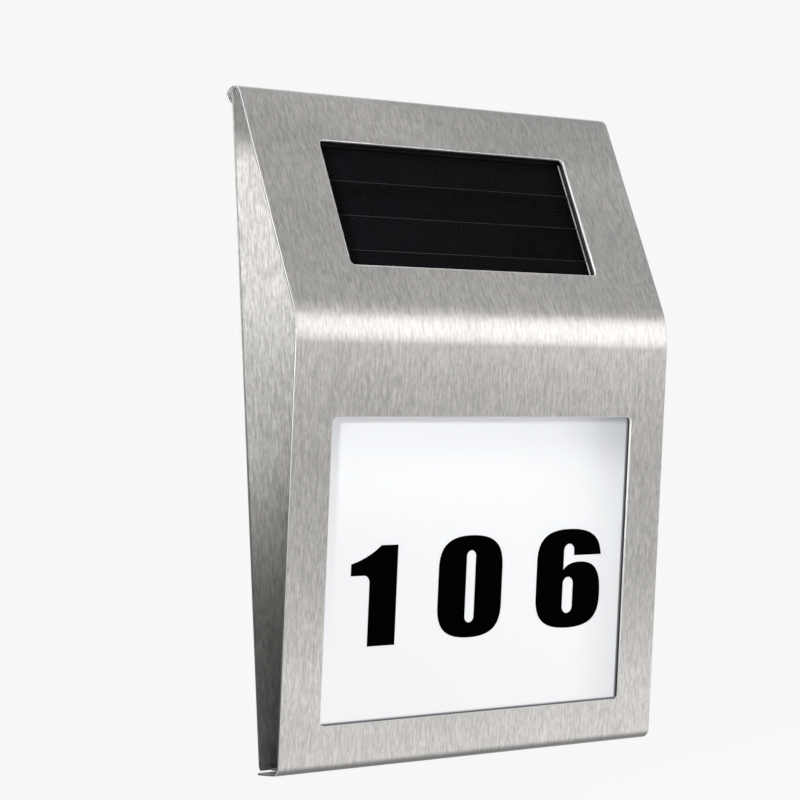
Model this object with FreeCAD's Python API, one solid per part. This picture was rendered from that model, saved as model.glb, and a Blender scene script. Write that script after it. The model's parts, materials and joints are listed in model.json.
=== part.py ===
import FreeCAD, Part
import math
import os

# A solar house number sign in millimetres: X right, Y towards the wall, Z up.  The origin is on
# the wall, in the middle of the four wall screws.  A folded stainless cover hooks over the top
# edge of a wall plate.  It carries a solar panel above its middle bend and a lit window below.

# Sheet metal
WIDTH = 180.0             # of the cover and the wall plate
SHEET = 1.0               # thickness of both
BEND_HEIGHT = 38.0        # sharp corner of the middle bend, above the origin
BEND_OUT = 40.9           # the same corner, in front of the wall
UPPER_LEAN = 19.4         # degrees the upper slope leans back towards the wall
LOWER_LEAN = 8.3          # degrees the lower slope leans back towards the wall
BEND_RADIUS = 24.0        # outside of the middle bend
LOWER_LENGTH = 164.8      # middle bend to the foot bend, along the lower slope
FOOT_RADIUS = 4.0         # outside of the bottom bend
FOOT_GAP = 4.0            # rear edge of the foot flange to the wall
CURL_RADIUS = 5.2         # outside of the curl that hooks over the wall plate
CURL_GAP = 0.5            # curl to the wall
CURL_LIP = 1.0            # straight end of the curl
CURL_CORNER = 4.0         # rounding of the curl's two free corners
HOOK_GAP = 0.1            # wall plate's top edge to the inside of the curl
PLATE_STAND = 5.0         # back of the wall plate to the wall
LIP_REACH = 7.5           # bottom lip of the wall plate, from its back face
LIP_INSET = 4.5           # lip shorter than the plate at each side
LIP_LIFT = 0.5            # lip above the foot flange
LIP_RADIUS = 2.0          # outside of the lip's bend

# Wall screws, in dishes pressed back from the plate to the wall
SCREW_SPACING_X = 124.0
SCREW_SPACING_Z = 190.0
SCREW_HOLE_RADIUS = 2.5
DISH_RIM_RADIUS = 11.5
DISH_FLOOR_RADIUS = 7.0

# Windows in the cover, measured along the slopes from the middle bend's sharp corner
SOLAR_WINDOW_LOW = 22.2
SOLAR_WINDOW_HEIGHT = 51.6
NUMBER_WINDOW_WIDTH = 144.8
NUMBER_WINDOW_TOP = 35.7
NUMBER_WINDOW_HEIGHT = 112.3
WINDOW_CORNER = 2.0

# Solar panel stack, from the sheet inwards
GASKET = 1.0              # foam under both windows' edges
GASKET_STEP = 0.3         # foam set back from the window's edge
PANEL_WIDTH = 125.0
PANEL_LAP = 2.8           # panel past the window at each side
PANEL_HEIGHT = 65.0
PANEL_RISE = 1.5          # panel's top edge above the window
GLASS = 2.2
CELL = 0.3
CELL_COUNT = 4
CELL_EDGE = 1.6           # clear rim of the glass over and beside the cells
CELL_FOOT = 6.1           # clear strip of the glass under them
CELL_GAP = 0.5
FIT = 0.3                 # round pieces that drop into a recess
CUT = 1.0                 # how far a cut runs past the faces it opens
ROD_FLAT_COUNT = 8        # small round stock and holes out of sight
RING_FLAT_COUNT = 20      # screw heads and grommets

# Solar housing
HOUSING_WALL = 2.0
HOUSING_FLOOR = 1.6       # behind the panel
HOUSING_RIM = 3.0         # round the panel
HOUSING_BACK_GAP = 8.5    # rear face of the housing to the wall
BACK_THICKNESS = 2.0
SEAL = 0.8
CAVITY_TOP = 60.0         # top of the housing's hollow above the middle bend
EAR_RADIUS = 4.0
EAR_THICKNESS = 3.0
EAR_REACH = 6.5           # stud beyond the side of the housing
EAR_ROOT = 0.4            # ear let into the side of its moulding
HOUSING_EAR_UP = (20.0, 66.0)
BACK_SCREW_INSET = 4.3    # from the housing's sides and the battery bay
BACK_SCREW_LOW = 12.5     # heights above the middle bend
BACK_SCREW_HIGH = 56.0
BACK_BOSS_RADIUS = 2.8
BACK_SCREW_LENGTH = 6.5
BOARD_SCREW_LENGTH = 4.0

# Fasteners
STUD_RADIUS = 1.5
STUD_LENGTH = 6.5         # from the inside of the sheet
STUD_GAP = 0.2            # round a stud or the lock screw in its hole
NUT_FLATS = 5.5
NUT_THICKNESS = 2.4
SMALL_SCREW_RADIUS = 1.0
SMALL_HEAD_RADIUS = 1.9
SMALL_HEAD_HEIGHT = 1.3
THREAD_GAP = 0.05

# Battery, along X in the deep lower part of the housing
BATTERY_RADIUS = 7.25
BATTERY_LENGTH = 50.5
BATTERY_NUB_RADIUS = 2.75
BATTERY_NUB = 1.0
BATTERY_UP = 18.5         # axis above the middle bend
BATTERY_INSET = 13.3      # flat end from the housing's left side
BATTERY_BACK = 0.4        # to the inside of the housing's back
CONTACT = 0.5
CONTACT_HALF = 5.5
SPRING_ROOM = 4.0
SPRING_NOSE = 2.2         # flat middle of the bowed leaf
DIMPLE = 1.0
DIVIDER = 1.6
CRADLE_INSET = 10.5       # from the battery's ends

# Battery door, sliding left in the housing's back
DOOR_THICKNESS = 1.1
DOOR_HALF_HEIGHT = 7.3
DOOR_TONGUE = 1.0
DOOR_TONGUE_THICKNESS = 0.5
DOOR_OVERLAP = 1.2        # past the opening at each end
DOOR_GAP = 0.15
GRIP_RIBS = 5
GRIP_PITCH = 2.5
GRIP_HEIGHT = 0.4

# Control board and switch
BOARD = 1.6
BOARD_INSET = 8.8         # right end from the housing's right side
BOARD_BAY_GAP = 10.0      # left end from the battery bay's right side
BOARD_LOW = 16.0          # above the middle bend
BOARD_HIGH = 46.0
CHIP = (5.0, 1.6, 4.0)
CHOKE_RADIUS = 2.6
CHOKE_HEIGHT = 3.2
CAPACITOR_RADIUS = 2.0
CAPACITOR_HEIGHT = 3.0
PARTS_PITCH = 7.0
SWITCH_INSET = 21.0       # middle from the board's right end
SWITCH_UP = 33.0
SWITCH_LENGTH = 10.0
SWITCH_WIDTH = 4.4
SWITCH_DEPTH = 3.6
SWITCH_WALL = 0.8
SWITCH_TRAVEL = 3.0
KNOB_LENGTH = 3.0
KNOB_STEM = 2.2
KNOB_PROUD = 0.8
KNOB_GAP = 0.15

# Number window
LENS = 2.0
LENS_LAP = 5.0            # lens past the window's edge
TRAY_RIM = 2.5            # round the lens
TRAY_RIM_DEPTH = 5.0
TRAY_WALL = 1.6
TRAY_SIGHT = 1.5          # tray's hollow past the window's edge
TRAY_DEEP = 17.0          # below the cover's outside, at the tray's top
TRAY_SHALLOW = 11.0       # the same at its bottom
TRAY_DRAFT = 1.5
TRAY_CORNER = 5.0
TUB_CORNER = 3.0
TRAY_EARS = (42.0, 92.0, 142.0)
TRAY_EAR_REACH = 1.8
FOIL = 0.3
LED_BOARD_LENGTH = 124.0
LED_BOARD_WIDTH = 9.0
LED_BOARD_STAND = 1.8
LED_COUNT = 4
LED_PITCH = 32.0
LED_LENGTH = 3.5
LED_WIDTH = 2.8
LED_HEIGHT = 1.4
LED_SCREWS_X = 40.0

# Number films
FILM = 0.2
DIGIT_CURVE = 12.4        # height of the rounded ends of the 0 and the 6
DIGIT_SQUARE = 0.71       # how far these ends fill their corners
OVAL = 0.5523             # the same for an oval end
ONE_STEM_LEFT = -51.5
ONE_STEM_WIDTH = 12.5
ONE_TOP = 82.9            # tops and feet are measured down the slope like the window
ONE_FOOT = 120.2
ONE_FLAG_REACH = 8.6
ONE_FLAG_DROP = 6.6
ONE_FLAG_END = 4.4
ONE_FLAG_DIP = 0.95
ONE_SHOULDER = 4.9
ONE_ROUND = 2.8
ZERO_LEFT = -19.4
ZERO_WIDTH = 30.7
ZERO_TOP = 80.5
ZERO_FOOT = 119.4
ZERO_SLOT = 4.5
ZERO_STROKE = 5.7         # above and below the slot
SIX_LEFT = 28.7
SIX_WIDTH = 32.6
SIX_TOP = 79.5
SIX_FOOT = 118.3
SIX_SLOT = 5.3
SIX_SLOT_LEFT = 42.1
SIX_STROKE = 5.8
SIX_JAW_TOP = 89.9        # cut across the end of the upper stroke
SIX_BOWL_TOP = 92.5
SIX_BOWL_CURVE = 12.4
SIX_BOWL_WIDTH = 21.5
SIX_EYE_TOP = 98.3

# Wires
WIRE_RADIUS = 0.6
WIRE_BEND = 6.0
WIRE_TIGHT_BEND = 3.6     # inside the housing
WIRE_INSET = 31.0         # from the board's right end
WIRE_OUT = 24.5           # housing grommet in front of the wall
WIRE_PITCH = 1.3
WIRE_LOOP = 4.0           # straight past a grommet
LED_WIRE_UP = 19.2        # ends on the control board, above the middle bend
SOLAR_WIRE_UP = 39.0
SOLAR_WIRE_PITCH = 5.2
TRAY_WIRE_DEPTH = 10.5
GROMMET_NECK = 3.0
GROMMET_FLANGE = 4.2
GROMMET_LIP = 1.0
GROMMET_BORE = 1.5

# Lock screw in the foot flange
LOCK_OUT = 9.5
LOCK_HEAD_RADIUS = 2.75
LOCK_HEAD = 1.25
LOCK_NUT_HALF_X = 8.0
LOCK_NUT_HALF_Y = 2.4
LOCK_NUT = 2.0
LOCK_SLOT_GAP = 0.3
LOCK_TIP = 0.5

V = FreeCAD.Vector
ORIGIN = V(0, 0, 0)
ALONG_X = V(1, 0, 0)
ALONG_Y = V(0, 1, 0)
ALONG_Z = V(0, 0, 1)
UPPER = math.radians(UPPER_LEAN)
LOWER = math.radians(LOWER_LEAN)
HALF = WIDTH / 2

# Places worked out from the sizes above
BEND = V(0, -BEND_OUT, BEND_HEIGHT)
FOOT = BEND + V(0, math.sin(LOWER), -math.cos(LOWER)) * LOWER_LENGTH
CURL_APEX_CORNER = V(0, -CURL_GAP, BEND.z + (BEND_OUT - CURL_GAP) / math.tan(UPPER))
CURL = V(0, -CURL_GAP - CURL_RADIUS, CURL_APEX_CORNER.z - CURL_RADIUS / math.tan(UPPER / 2))
PLATE_BACK = -PLATE_STAND
PLATE_FRONT = -PLATE_STAND - SHEET
LIP_LOW = FOOT.z + SHEET + LIP_LIFT
STACK = SHEET + GASKET + GLASS + CELL       # cover's outside to the back of the cells
SOLAR_WINDOW_WIDTH = PANEL_WIDTH - 2 * PANEL_LAP
PANEL_TOP = SOLAR_WINDOW_LOW + SOLAR_WINDOW_HEIGHT + PANEL_RISE
PANEL_LOW = PANEL_TOP - PANEL_HEIGHT
HOUSING_HALF = PANEL_WIDTH / 2 + FIT + HOUSING_RIM
HOUSING_LOW = PANEL_LOW - FIT - HOUSING_RIM
HOUSING_TOP = PANEL_TOP + FIT + HOUSING_RIM
BACK_REAR = -HOUSING_BACK_GAP
BACK_FRONT = BACK_REAR - BACK_THICKNESS
SEAL_FRONT = BACK_FRONT - SEAL
CAVITY_FRONT = STACK + HOUSING_FLOOR
BATTERY_Y = BACK_FRONT - BATTERY_BACK - BATTERY_RADIUS
BATTERY_Z = BEND.z + BATTERY_UP
BATTERY_LEFT = -HOUSING_HALF + BATTERY_INSET
BATTERY_RIGHT = BATTERY_LEFT + BATTERY_LENGTH
BAY_LEFT = BATTERY_LEFT - SPRING_ROOM - CONTACT
BAY_RIGHT = BATTERY_RIGHT + DIMPLE + CONTACT
DOOR_FRONT = BACK_REAR - DOOR_THICKNESS
DOOR_LEFT = BAY_LEFT - DOOR_OVERLAP
DOOR_RIGHT = BAY_RIGHT + DOOR_OVERLAP
BOARD_REAR = BACK_FRONT - SWITCH_DEPTH
BOARD_FRONT = BOARD_REAR - BOARD
BOARD_RIGHT = HOUSING_HALF - BOARD_INSET
BOARD_LEFT = BAY_RIGHT + BOARD_BAY_GAP
SWITCH_X = BOARD_RIGHT - SWITCH_INSET
WIRE_X = BOARD_RIGHT - WIRE_INSET
BACK_SCREWS = ((-HOUSING_HALF + BACK_SCREW_INSET, BACK_SCREW_HIGH),
               (HOUSING_HALF - BACK_SCREW_INSET, BACK_SCREW_HIGH),
               (HOUSING_HALF - BACK_SCREW_INSET, BACK_SCREW_LOW),
               (BAY_RIGHT + BACK_SCREW_INSET, BACK_SCREW_LOW))
LENS_TOP = NUMBER_WINDOW_TOP - LENS_LAP
LENS_FOOT = NUMBER_WINDOW_TOP + NUMBER_WINDOW_HEIGHT + LENS_LAP
LENS_HALF = NUMBER_WINDOW_WIDTH / 2 + LENS_LAP
LENS_FRONT = SHEET + GASKET
LENS_BACK = LENS_FRONT + LENS
RIM_HALF = LENS_HALF + FIT + TRAY_RIM
RIM_TOP = LENS_TOP - FIT - TRAY_RIM
RIM_FOOT = LENS_FOOT + FIT + TRAY_RIM
TUB_HALF = NUMBER_WINDOW_WIDTH / 2 + TRAY_SIGHT + TRAY_WALL
TUB_TOP = NUMBER_WINDOW_TOP - TRAY_SIGHT - TRAY_WALL
TUB_FOOT = NUMBER_WINDOW_TOP + NUMBER_WINDOW_HEIGHT + TRAY_SIGHT + TRAY_WALL
LED_BOARD_FRONT = LENS_BACK + TRAY_WALL
LED_BOARD_TOP = TUB_TOP + TRAY_WALL + LED_BOARD_STAND


def box(x, y, z):
    """A box from its (low, high) pair along each axis."""
    return Part.makeBox(x[1] - x[0], y[1] - y[0], z[1] - z[0], V(x[0], y[0], z[0]))


def prism(points, direction):
    """The solid that a closed outline sweeps along a direction."""
    return Part.Face(Part.makePolygon(points + points[:1])).extrude(direction)


def ring_points(radius, centre, axis, count):
    """Points evenly round an axis square to X."""
    points = []
    for step in range(count):
        turn = 2 * math.pi * step / count
        points.append(centre + (ALONG_X * math.cos(turn) + axis.cross(ALONG_X) * math.sin(turn)) * radius)
    return points


def rod(radius, length, start, axis=ALONG_Z, flats=ROD_FLAT_COUNT):
    """Small round stock, or the hole for it, drawn with a few flats where it is out of sight."""
    return prism(ring_points(radius, start, axis, flats), axis * length)


def rounded_wire(half_width, low, high, corner):
    """A rounded rectangle in the XZ plane, centred on x = 0."""
    outline = [V(half_width, 0, low), V(half_width, 0, high)]
    outline += [V(-half_width, 0, high), V(-half_width, 0, low)]
    start = (outline[0] + outline[-1]) / 2
    return Part.Wire(round_path([start] + outline + [start], [corner] * 4))


def slab(half_width, low, high, y, corner):
    """A rounded plate between two heights, with y its (front, rear) pair."""
    face = Part.Face(rounded_wire(half_width, low, high, corner))
    face.translate(ALONG_Y * y[0])
    return face.extrude(ALONG_Y * (y[1] - y[0]))


def round_path(corners, radii):
    """The edges of a path with each of its inner corners rounded to its own radius."""
    edges = []
    start = corners[0]
    for before, corner, after, radius in zip(corners, corners[1:], corners[2:], radii):
        back = (before - corner).normalize()
        ahead = (after - corner).normalize()
        half_turn = (math.pi - back.getAngle(ahead)) / 2
        tangent = radius * math.tan(half_turn)
        bulge = (back + ahead).normalize() * (radius / math.cos(half_turn) - radius)
        edges.append(Part.LineSegment(start, corner + back * tangent).toShape())
        arc = Part.Arc(corner + back * tangent, corner + bulge, corner + ahead * tangent)
        edges.append(arc.toShape())
        start = corner + ahead * tangent
    edges.append(Part.LineSegment(start, corners[-1]).toShape())
    return edges


def inner_path(corners, distance):
    """A path in the YZ plane moved sideways, towards the inside of its bends."""
    sides = []
    for start, end in zip(corners, corners[1:]):
        along = (end - start).normalize()
        sides.append(V(0, -along.z, along.y))
    moved = [corners[0] + sides[0] * distance]
    for corner, one, two in zip(corners[1:], sides, sides[1:]):
        moved.append(corner + (one + two) * (distance / (1 + one.dot(two))))
    moved.append(corners[-1] + sides[-1] * distance)
    return moved


def folded_sheet(corners, radii):
    """Sheet metal over the full width: the sharp corners and radii are those of its outside."""
    inside = inner_path(corners, SHEET)
    edges = round_path(corners, radii) + round_path(inside, [r - SHEET for r in radii])
    edges.append(Part.LineSegment(corners[0], inside[0]).toShape())
    edges.append(Part.LineSegment(corners[-1], inside[-1]).toShape())
    face = Part.Face(Part.Wire(Part.__sortEdges__(edges)))
    face.translate(-ALONG_X * HALF)
    return face.extrude(ALONG_X * WIDTH)


def on_upper(shape):
    """Places a shape whose Y is depth below the upper slope and whose Z runs up it."""
    shape.rotate(ORIGIN, ALONG_X, -UPPER_LEAN)
    shape.translate(BEND)
    return shape


def on_lower(shape):
    """The same on the lower slope, where distances down from the bend are negative Z."""
    shape.rotate(ORIGIN, ALONG_X, LOWER_LEAN)
    shape.translate(BEND)
    return shape


def upper_point(up, depth):
    """A point of the upper slope's own axes, in the part's frame."""
    return BEND + V(0, math.sin(UPPER), math.cos(UPPER)) * up \
        + V(0, math.cos(UPPER), -math.sin(UPPER)) * depth


def lower_point(down, depth, x=0.0):
    """A point of the lower slope's own axes, in the part's frame."""
    return BEND + V(x, math.sin(LOWER) * down, -math.cos(LOWER) * down) \
        + V(0, math.cos(LOWER), math.sin(LOWER)) * depth


def upper_y(depth, z):
    """Where a plane at a depth below the upper slope passes a height."""
    return BEND.y + (depth + (z - BEND.z) * math.sin(UPPER)) / math.cos(UPPER)


def tube(points, radius, bend):
    """A round wire along straight runs joined by arcs."""
    path = Part.Wire(round_path(points, [bend] * (len(points) - 2)))
    ring = ring_points(radius, points[0], (points[1] - points[0]).normalize(), 6)
    return path.makePipeShell([Part.makePolygon(ring + ring[:1])], True, False)


def housing_ends():
    """Low and high edges of the housing's vertical back."""
    return upper_point(HOUSING_LOW, SHEET).z, upper_point(HOUSING_TOP, SHEET).z


def stud_places():
    """(placing function, x, z) of each stud, in its slope's own axes."""
    places = []
    for side in (-1, 1):
        for up in HOUSING_EAR_UP:
            places.append((on_upper, side * (HOUSING_HALF + EAR_REACH), up))
        for down in TRAY_EARS:
            places.append((on_lower, side * (RIM_HALF + TRAY_EAR_REACH), -down))
    return places


def ear(x, z, reach):
    """A rounded fixing ear reaching out from the side of a moulding, and its hole and nut pocket."""
    side = 1 if x > 0 else -1
    root = x - side * (reach + EAR_ROOT)
    tab = Part.makeCylinder(EAR_RADIUS, EAR_THICKNESS, V(x, SHEET, z), ALONG_Y)
    arm = box(sorted((root, x)), (SHEET, SHEET + EAR_THICKNESS), (z - EAR_RADIUS, z + EAR_RADIUS))
    hole = rod(STUD_RADIUS + STUD_GAP, EAR_THICKNESS * 3, V(x, 0, z), ALONG_Y)
    room = NUT_FLATS / math.sqrt(3) + STUD_GAP
    pocket = box((x - room, x + room), (SHEET + EAR_THICKNESS, SHEET + STUD_LENGTH), (z - room, z + room))
    return tab.fuse(arm), hole.fuse(pocket)


def wall_plate():
    """The sheet that stays on the wall, with pressed screw dishes and a bottom lip."""
    aside = max(abs(CURL.y - PLATE_BACK), abs(CURL.y - PLATE_FRONT))
    reach = math.sqrt((CURL_RADIUS - SHEET - HOOK_GAP) ** 2 - aside ** 2)
    corners = [V(0, PLATE_BACK - LIP_REACH, LIP_LOW), V(0, PLATE_BACK, LIP_LOW)]
    corners.append(V(0, PLATE_BACK, CURL.z + reach))
    plate = folded_sheet(corners, [LIP_RADIUS])
    lean = math.atan2(PLATE_STAND, DISH_RIM_RADIUS - DISH_FLOOR_RADIUS)
    spread = SHEET * math.tan(lean / 2)
    profile = [V(DISH_RIM_RADIUS, PLATE_FRONT, 0), V(DISH_FLOOR_RADIUS, -SHEET, 0)]
    profile += [V(SCREW_HOLE_RADIUS, -SHEET, 0), V(SCREW_HOLE_RADIUS, 0, 0)]
    profile += [V(DISH_FLOOR_RADIUS + spread, 0, 0), V(DISH_RIM_RADIUS + spread, PLATE_BACK, 0)]
    profile.append(V(DISH_RIM_RADIUS + spread, PLATE_FRONT, 0))
    for x in (-SCREW_SPACING_X / 2, SCREW_SPACING_X / 2):
        for z in (-SCREW_SPACING_Z / 2, SCREW_SPACING_Z / 2):
            blank = Part.makeCylinder(DISH_RIM_RADIUS + spread, 3 * SHEET,
                                      V(x, PLATE_FRONT - SHEET, z), ALONG_Y)
            dish = Part.Face(Part.makePolygon(profile + profile[:1]))
            dish = dish.revolve(ORIGIN, ALONG_Y, 360)
            dish.translate(V(x, 0, z))
            plate = plate.cut(blank).fuse(dish)
    lip_end = (PLATE_BACK - LIP_REACH - SHEET, PLATE_FRONT)
    for side in (-1, 1):
        ends = sorted((side * (HALF - LIP_INSET), side * (HALF + SHEET)))
        plate = plate.cut(box(ends, lip_end, (LIP_LOW - SHEET, LIP_LOW + 3 * LIP_RADIUS)))
    slot = STUD_RADIUS + LOCK_SLOT_GAP
    slot_end = -LOCK_OUT
    plate = plate.cut(Part.makeCylinder(slot, 3 * SHEET, V(0, slot_end, LIP_LOW - SHEET)))
    plate = plate.cut(box((-slot, slot), (lip_end[0], slot_end), (LIP_LOW - SHEET, LIP_LOW + 2 * SHEET)))
    return plate.removeSplitter()


def front_cover():
    """One folded sheet: curl, upper slope, middle bend, lower slope and foot flange."""
    corners = [V(0, -CURL_GAP, CURL.z - CURL_LIP), CURL_APEX_CORNER, BEND, FOOT, V(0, -FOOT_GAP, FOOT.z)]
    cover = folded_sheet(corners, [CURL_RADIUS, BEND_RADIUS, FOOT_RADIUS])
    through = (-SHEET, 2 * SHEET)
    cover = cover.cut(on_upper(slab(SOLAR_WINDOW_WIDTH / 2, SOLAR_WINDOW_LOW,
                                    SOLAR_WINDOW_LOW + SOLAR_WINDOW_HEIGHT, through, WINDOW_CORNER)))
    foot = -NUMBER_WINDOW_TOP - NUMBER_WINDOW_HEIGHT
    cover = cover.cut(on_lower(slab(NUMBER_WINDOW_WIDTH / 2, foot, -NUMBER_WINDOW_TOP,
                                    through, WINDOW_CORNER)))
    lip_end = CURL.z - CURL_LIP
    for side in (-1, 1):
        middle = side * (HALF - CURL_CORNER)
        corner = box(sorted((middle, side * (HALF + SHEET))), (CURL.y, 0),
                     (lip_end - SHEET, lip_end + CURL_CORNER))
        keep = Part.makeCylinder(CURL_CORNER, CURL_RADIUS * 2, V(middle, CURL.y, lip_end + CURL_CORNER),
                                 ALONG_Y)
        cover = cover.cut(corner.cut(keep))
    cover = cover.cut(Part.makeCylinder(STUD_RADIUS + STUD_GAP, 3 * SHEET, V(0, -LOCK_OUT, FOOT.z - SHEET)))
    return cover.cut(lock_cone(STUD_GAP))


def lock_cone(clearance):
    """The countersunk head of the lock screw, or with a clearance its seat."""
    slope = (LOCK_HEAD_RADIUS - STUD_RADIUS) / LOCK_HEAD
    return Part.makeCone(LOCK_HEAD_RADIUS + clearance * slope, STUD_RADIUS + clearance * slope,
                         LOCK_HEAD, V(0, -LOCK_OUT, FOOT.z))


def lock_screw():
    """Countersunk screw, flush in the foot flange, up into the clamp plate."""
    tip = LIP_LOW + SHEET + LOCK_NUT + LOCK_TIP
    seat = FOOT.z + LOCK_HEAD
    return lock_cone(0).fuse(rod(STUD_RADIUS, tip - seat, V(0, -LOCK_OUT, seat)))


def lock_nut():
    """Clamp plate above the wall plate's lip: its long side keeps it from turning."""
    low = LIP_LOW + SHEET
    plate = box((-LOCK_NUT_HALF_X, LOCK_NUT_HALF_X),
                (-LOCK_OUT - LOCK_NUT_HALF_Y, -LOCK_OUT + LOCK_NUT_HALF_Y), (low, low + LOCK_NUT))
    return plate.cut(rod(STUD_RADIUS + THREAD_GAP, LOCK_NUT, V(0, -LOCK_OUT, low)))


def cover_studs():
    """Studs welded to the inside of the cover."""
    studs = []
    for place, x, z in stud_places():
        studs.append(place(rod(STUD_RADIUS, STUD_LENGTH, V(x, SHEET, z), ALONG_Y)))
    return Part.makeCompound(studs)


def stud_nuts():
    """A hexagon nut on each stud, against the ear."""
    nuts = []
    for place, x, z in stud_places():
        seat = V(x, SHEET + EAR_THICKNESS, z)
        points = ring_points(NUT_FLATS / math.sqrt(3), seat, ALONG_Y, 6)
        bore = rod(STUD_RADIUS + THREAD_GAP, NUT_THICKNESS, seat, ALONG_Y)
        nuts.append(place(prism(points, ALONG_Y * NUT_THICKNESS).cut(bore)))
    return Part.makeCompound(nuts)


def frame_gasket(half, low, high, window_half, window_low, window_high):
    """A square-cut foam frame between the sheet and the glass or lens behind it."""
    depth = (SHEET, SHEET + GASKET)
    opening = window_half + GASKET_STEP
    return box((-half, half), depth, (low, high)).cut(
        box((-opening, opening), depth, (window_low - GASKET_STEP, window_high + GASKET_STEP)))


def solar_gasket():
    return on_upper(frame_gasket(PANEL_WIDTH / 2, PANEL_LOW, PANEL_TOP, SOLAR_WINDOW_WIDTH / 2,
                                 SOLAR_WINDOW_LOW, SOLAR_WINDOW_LOW + SOLAR_WINDOW_HEIGHT))


def lens_gasket():
    foot = -NUMBER_WINDOW_TOP - NUMBER_WINDOW_HEIGHT
    return on_lower(frame_gasket(LENS_HALF, -LENS_FOOT, -LENS_TOP, NUMBER_WINDOW_WIDTH / 2,
                                 foot, -NUMBER_WINDOW_TOP))


def solar_glass():
    front = SHEET + GASKET
    return on_upper(slab(PANEL_WIDTH / 2, PANEL_LOW, PANEL_TOP, (front, front + GLASS), WINDOW_CORNER / 2))


def solar_cells():
    """Wide strips on the back of the glass, one above the other."""
    front = SHEET + GASKET + GLASS
    pitch = (PANEL_HEIGHT - CELL_EDGE - CELL_FOOT + CELL_GAP) / CELL_COUNT
    half = PANEL_WIDTH / 2 - CELL_EDGE
    cells = []
    for row in range(CELL_COUNT):
        low = PANEL_LOW + CELL_FOOT + row * pitch
        cells.append(on_upper(box((-half, half), (front, front + CELL), (low, low + pitch - CELL_GAP))))
    return Part.makeCompound(cells)


def cavity(rear):
    """The housing's hollow: a wedge under the panel's floor, as far back as a given plane."""
    low = housing_ends()[0] + HOUSING_WALL
    high = BEND.z + CAVITY_TOP
    half = HOUSING_HALF - HOUSING_WALL
    points = [V(-half, upper_y(CAVITY_FRONT, low), low), V(-half, upper_y(CAVITY_FRONT, high), high)]
    points += [V(-half, rear, high), V(-half, rear, low)]
    return prism(points, ALONG_X * (2 * half))


def battery_rod(radius):
    """A bar along the battery's axis, longer than its bay."""
    return Part.makeCylinder(radius, WIDTH, V(-HALF, BATTERY_Y, BATTERY_Z), ALONG_X)


def board_bosses():
    """Centres of the control board's two screws."""
    inset = SMALL_HEAD_RADIUS + 2 * FIT
    return [V(BOARD_LEFT + inset, 0, BEND.z + BOARD_HIGH - inset),
            V(BOARD_RIGHT - inset, 0, BEND.z + BOARD_LOW + inset)]


def pillar(x, z, rear, hollow):
    """A screw boss from the housing's sloping floor to a rear plane."""
    return rod(BACK_BOSS_RADIUS, BEND_OUT + rear, V(x, -BEND_OUT, z), ALONG_Y).common(hollow)


def solar_housing():
    """Black wedge box: recess for the panel, battery bay, screw bosses and fixing ears."""
    low, high = housing_ends()
    outline = [upper_point(HOUSING_TOP, SHEET), upper_point(HOUSING_LOW, SHEET)]
    outline += [V(0, SEAL_FRONT, low), V(0, SEAL_FRONT, high)]
    body = prism(outline, ALONG_X * (2 * HOUSING_HALF))
    body.translate(-ALONG_X * HOUSING_HALF)
    hollow = cavity(SEAL_FRONT)
    body = body.cut(hollow)
    top = BATTERY_Z + BATTERY_RADIUS
    bay = []
    for x in (BAY_LEFT - DIVIDER, BAY_RIGHT):
        bay.append(box((x, x + DIVIDER), (-BEND_OUT, SEAL_FRONT), (low, top)))
    for x in (BATTERY_LEFT + CRADLE_INSET, BATTERY_RIGHT - CRADLE_INSET):
        rib = box((x - DIVIDER / 2, x + DIVIDER / 2), (-BEND_OUT, BATTERY_Y), (low, top))
        bay.append(rib.cut(battery_rod(BATTERY_RADIUS + FIT)))
    for rib in bay:
        body = body.fuse(rib.common(hollow))
    for x, up in BACK_SCREWS:
        body = body.fuse(pillar(x, BEND.z + up, BACK_FRONT, cavity(BACK_FRONT)))
    for centre in board_bosses():
        body = body.fuse(pillar(centre.x, centre.z, BOARD_FRONT, hollow))
    return finish_housing(body)


def finish_housing(body):
    """Cuts the panel's recess and the holes, and adds the ears."""
    recess = slab(PANEL_WIDTH / 2 + FIT, PANEL_LOW - FIT, PANEL_TOP + FIT, (0, STACK), WINDOW_CORNER / 2)
    body = body.cut(on_upper(recess))
    pilot = SMALL_SCREW_RADIUS + THREAD_GAP
    for x, up in BACK_SCREWS:
        depth = BACK_SCREW_LENGTH + FIT
        start = V(x, BACK_REAR - depth, BEND.z + up)
        body = body.cut(rod(pilot, depth, start, ALONG_Y))
    for centre in board_bosses():
        start = V(centre.x, BOARD_REAR - BOARD_SCREW_LENGTH - FIT, centre.z)
        body = body.cut(rod(pilot, BOARD_SCREW_LENGTH, start, ALONG_Y))
    low = housing_ends()[0]
    start = V(WIRE_X, -WIRE_OUT, low - HOUSING_WALL)
    body = body.cut(rod(GROMMET_NECK + THREAD_GAP, 3 * HOUSING_WALL, start, flats=RING_FLAT_COUNT))
    for lead in solar_lead_points():
        front = V(lead.x, upper_y(STACK, lead.z) - CUT, lead.z)
        body = body.cut(rod(WIRE_RADIUS + FIT, HOUSING_FLOOR + 3 * CUT, front, ALONG_Y))
    for side in (-1, 1):
        for up in HOUSING_EAR_UP:
            tab, hole = ear(side * (HOUSING_HALF + EAR_REACH), up, EAR_REACH)
            body = body.fuse(on_upper(tab)).cut(on_upper(hole))
    return body.removeSplitter()


def back_outline(front, rear):
    """A plate of the housing's outline behind it."""
    return box((-HOUSING_HALF, HOUSING_HALF), (front, rear), housing_ends())


def housing_seal():
    """Flat seal between the housing's rim and its back."""
    low = housing_ends()[0] + HOUSING_WALL
    half = HOUSING_HALF - HOUSING_WALL
    hole = box((-half, half), (SEAL_FRONT - SEAL, BACK_REAR), (low, BEND.z + CAVITY_TOP))
    return back_outline(SEAL_FRONT, BACK_FRONT).cut(hole)


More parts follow.
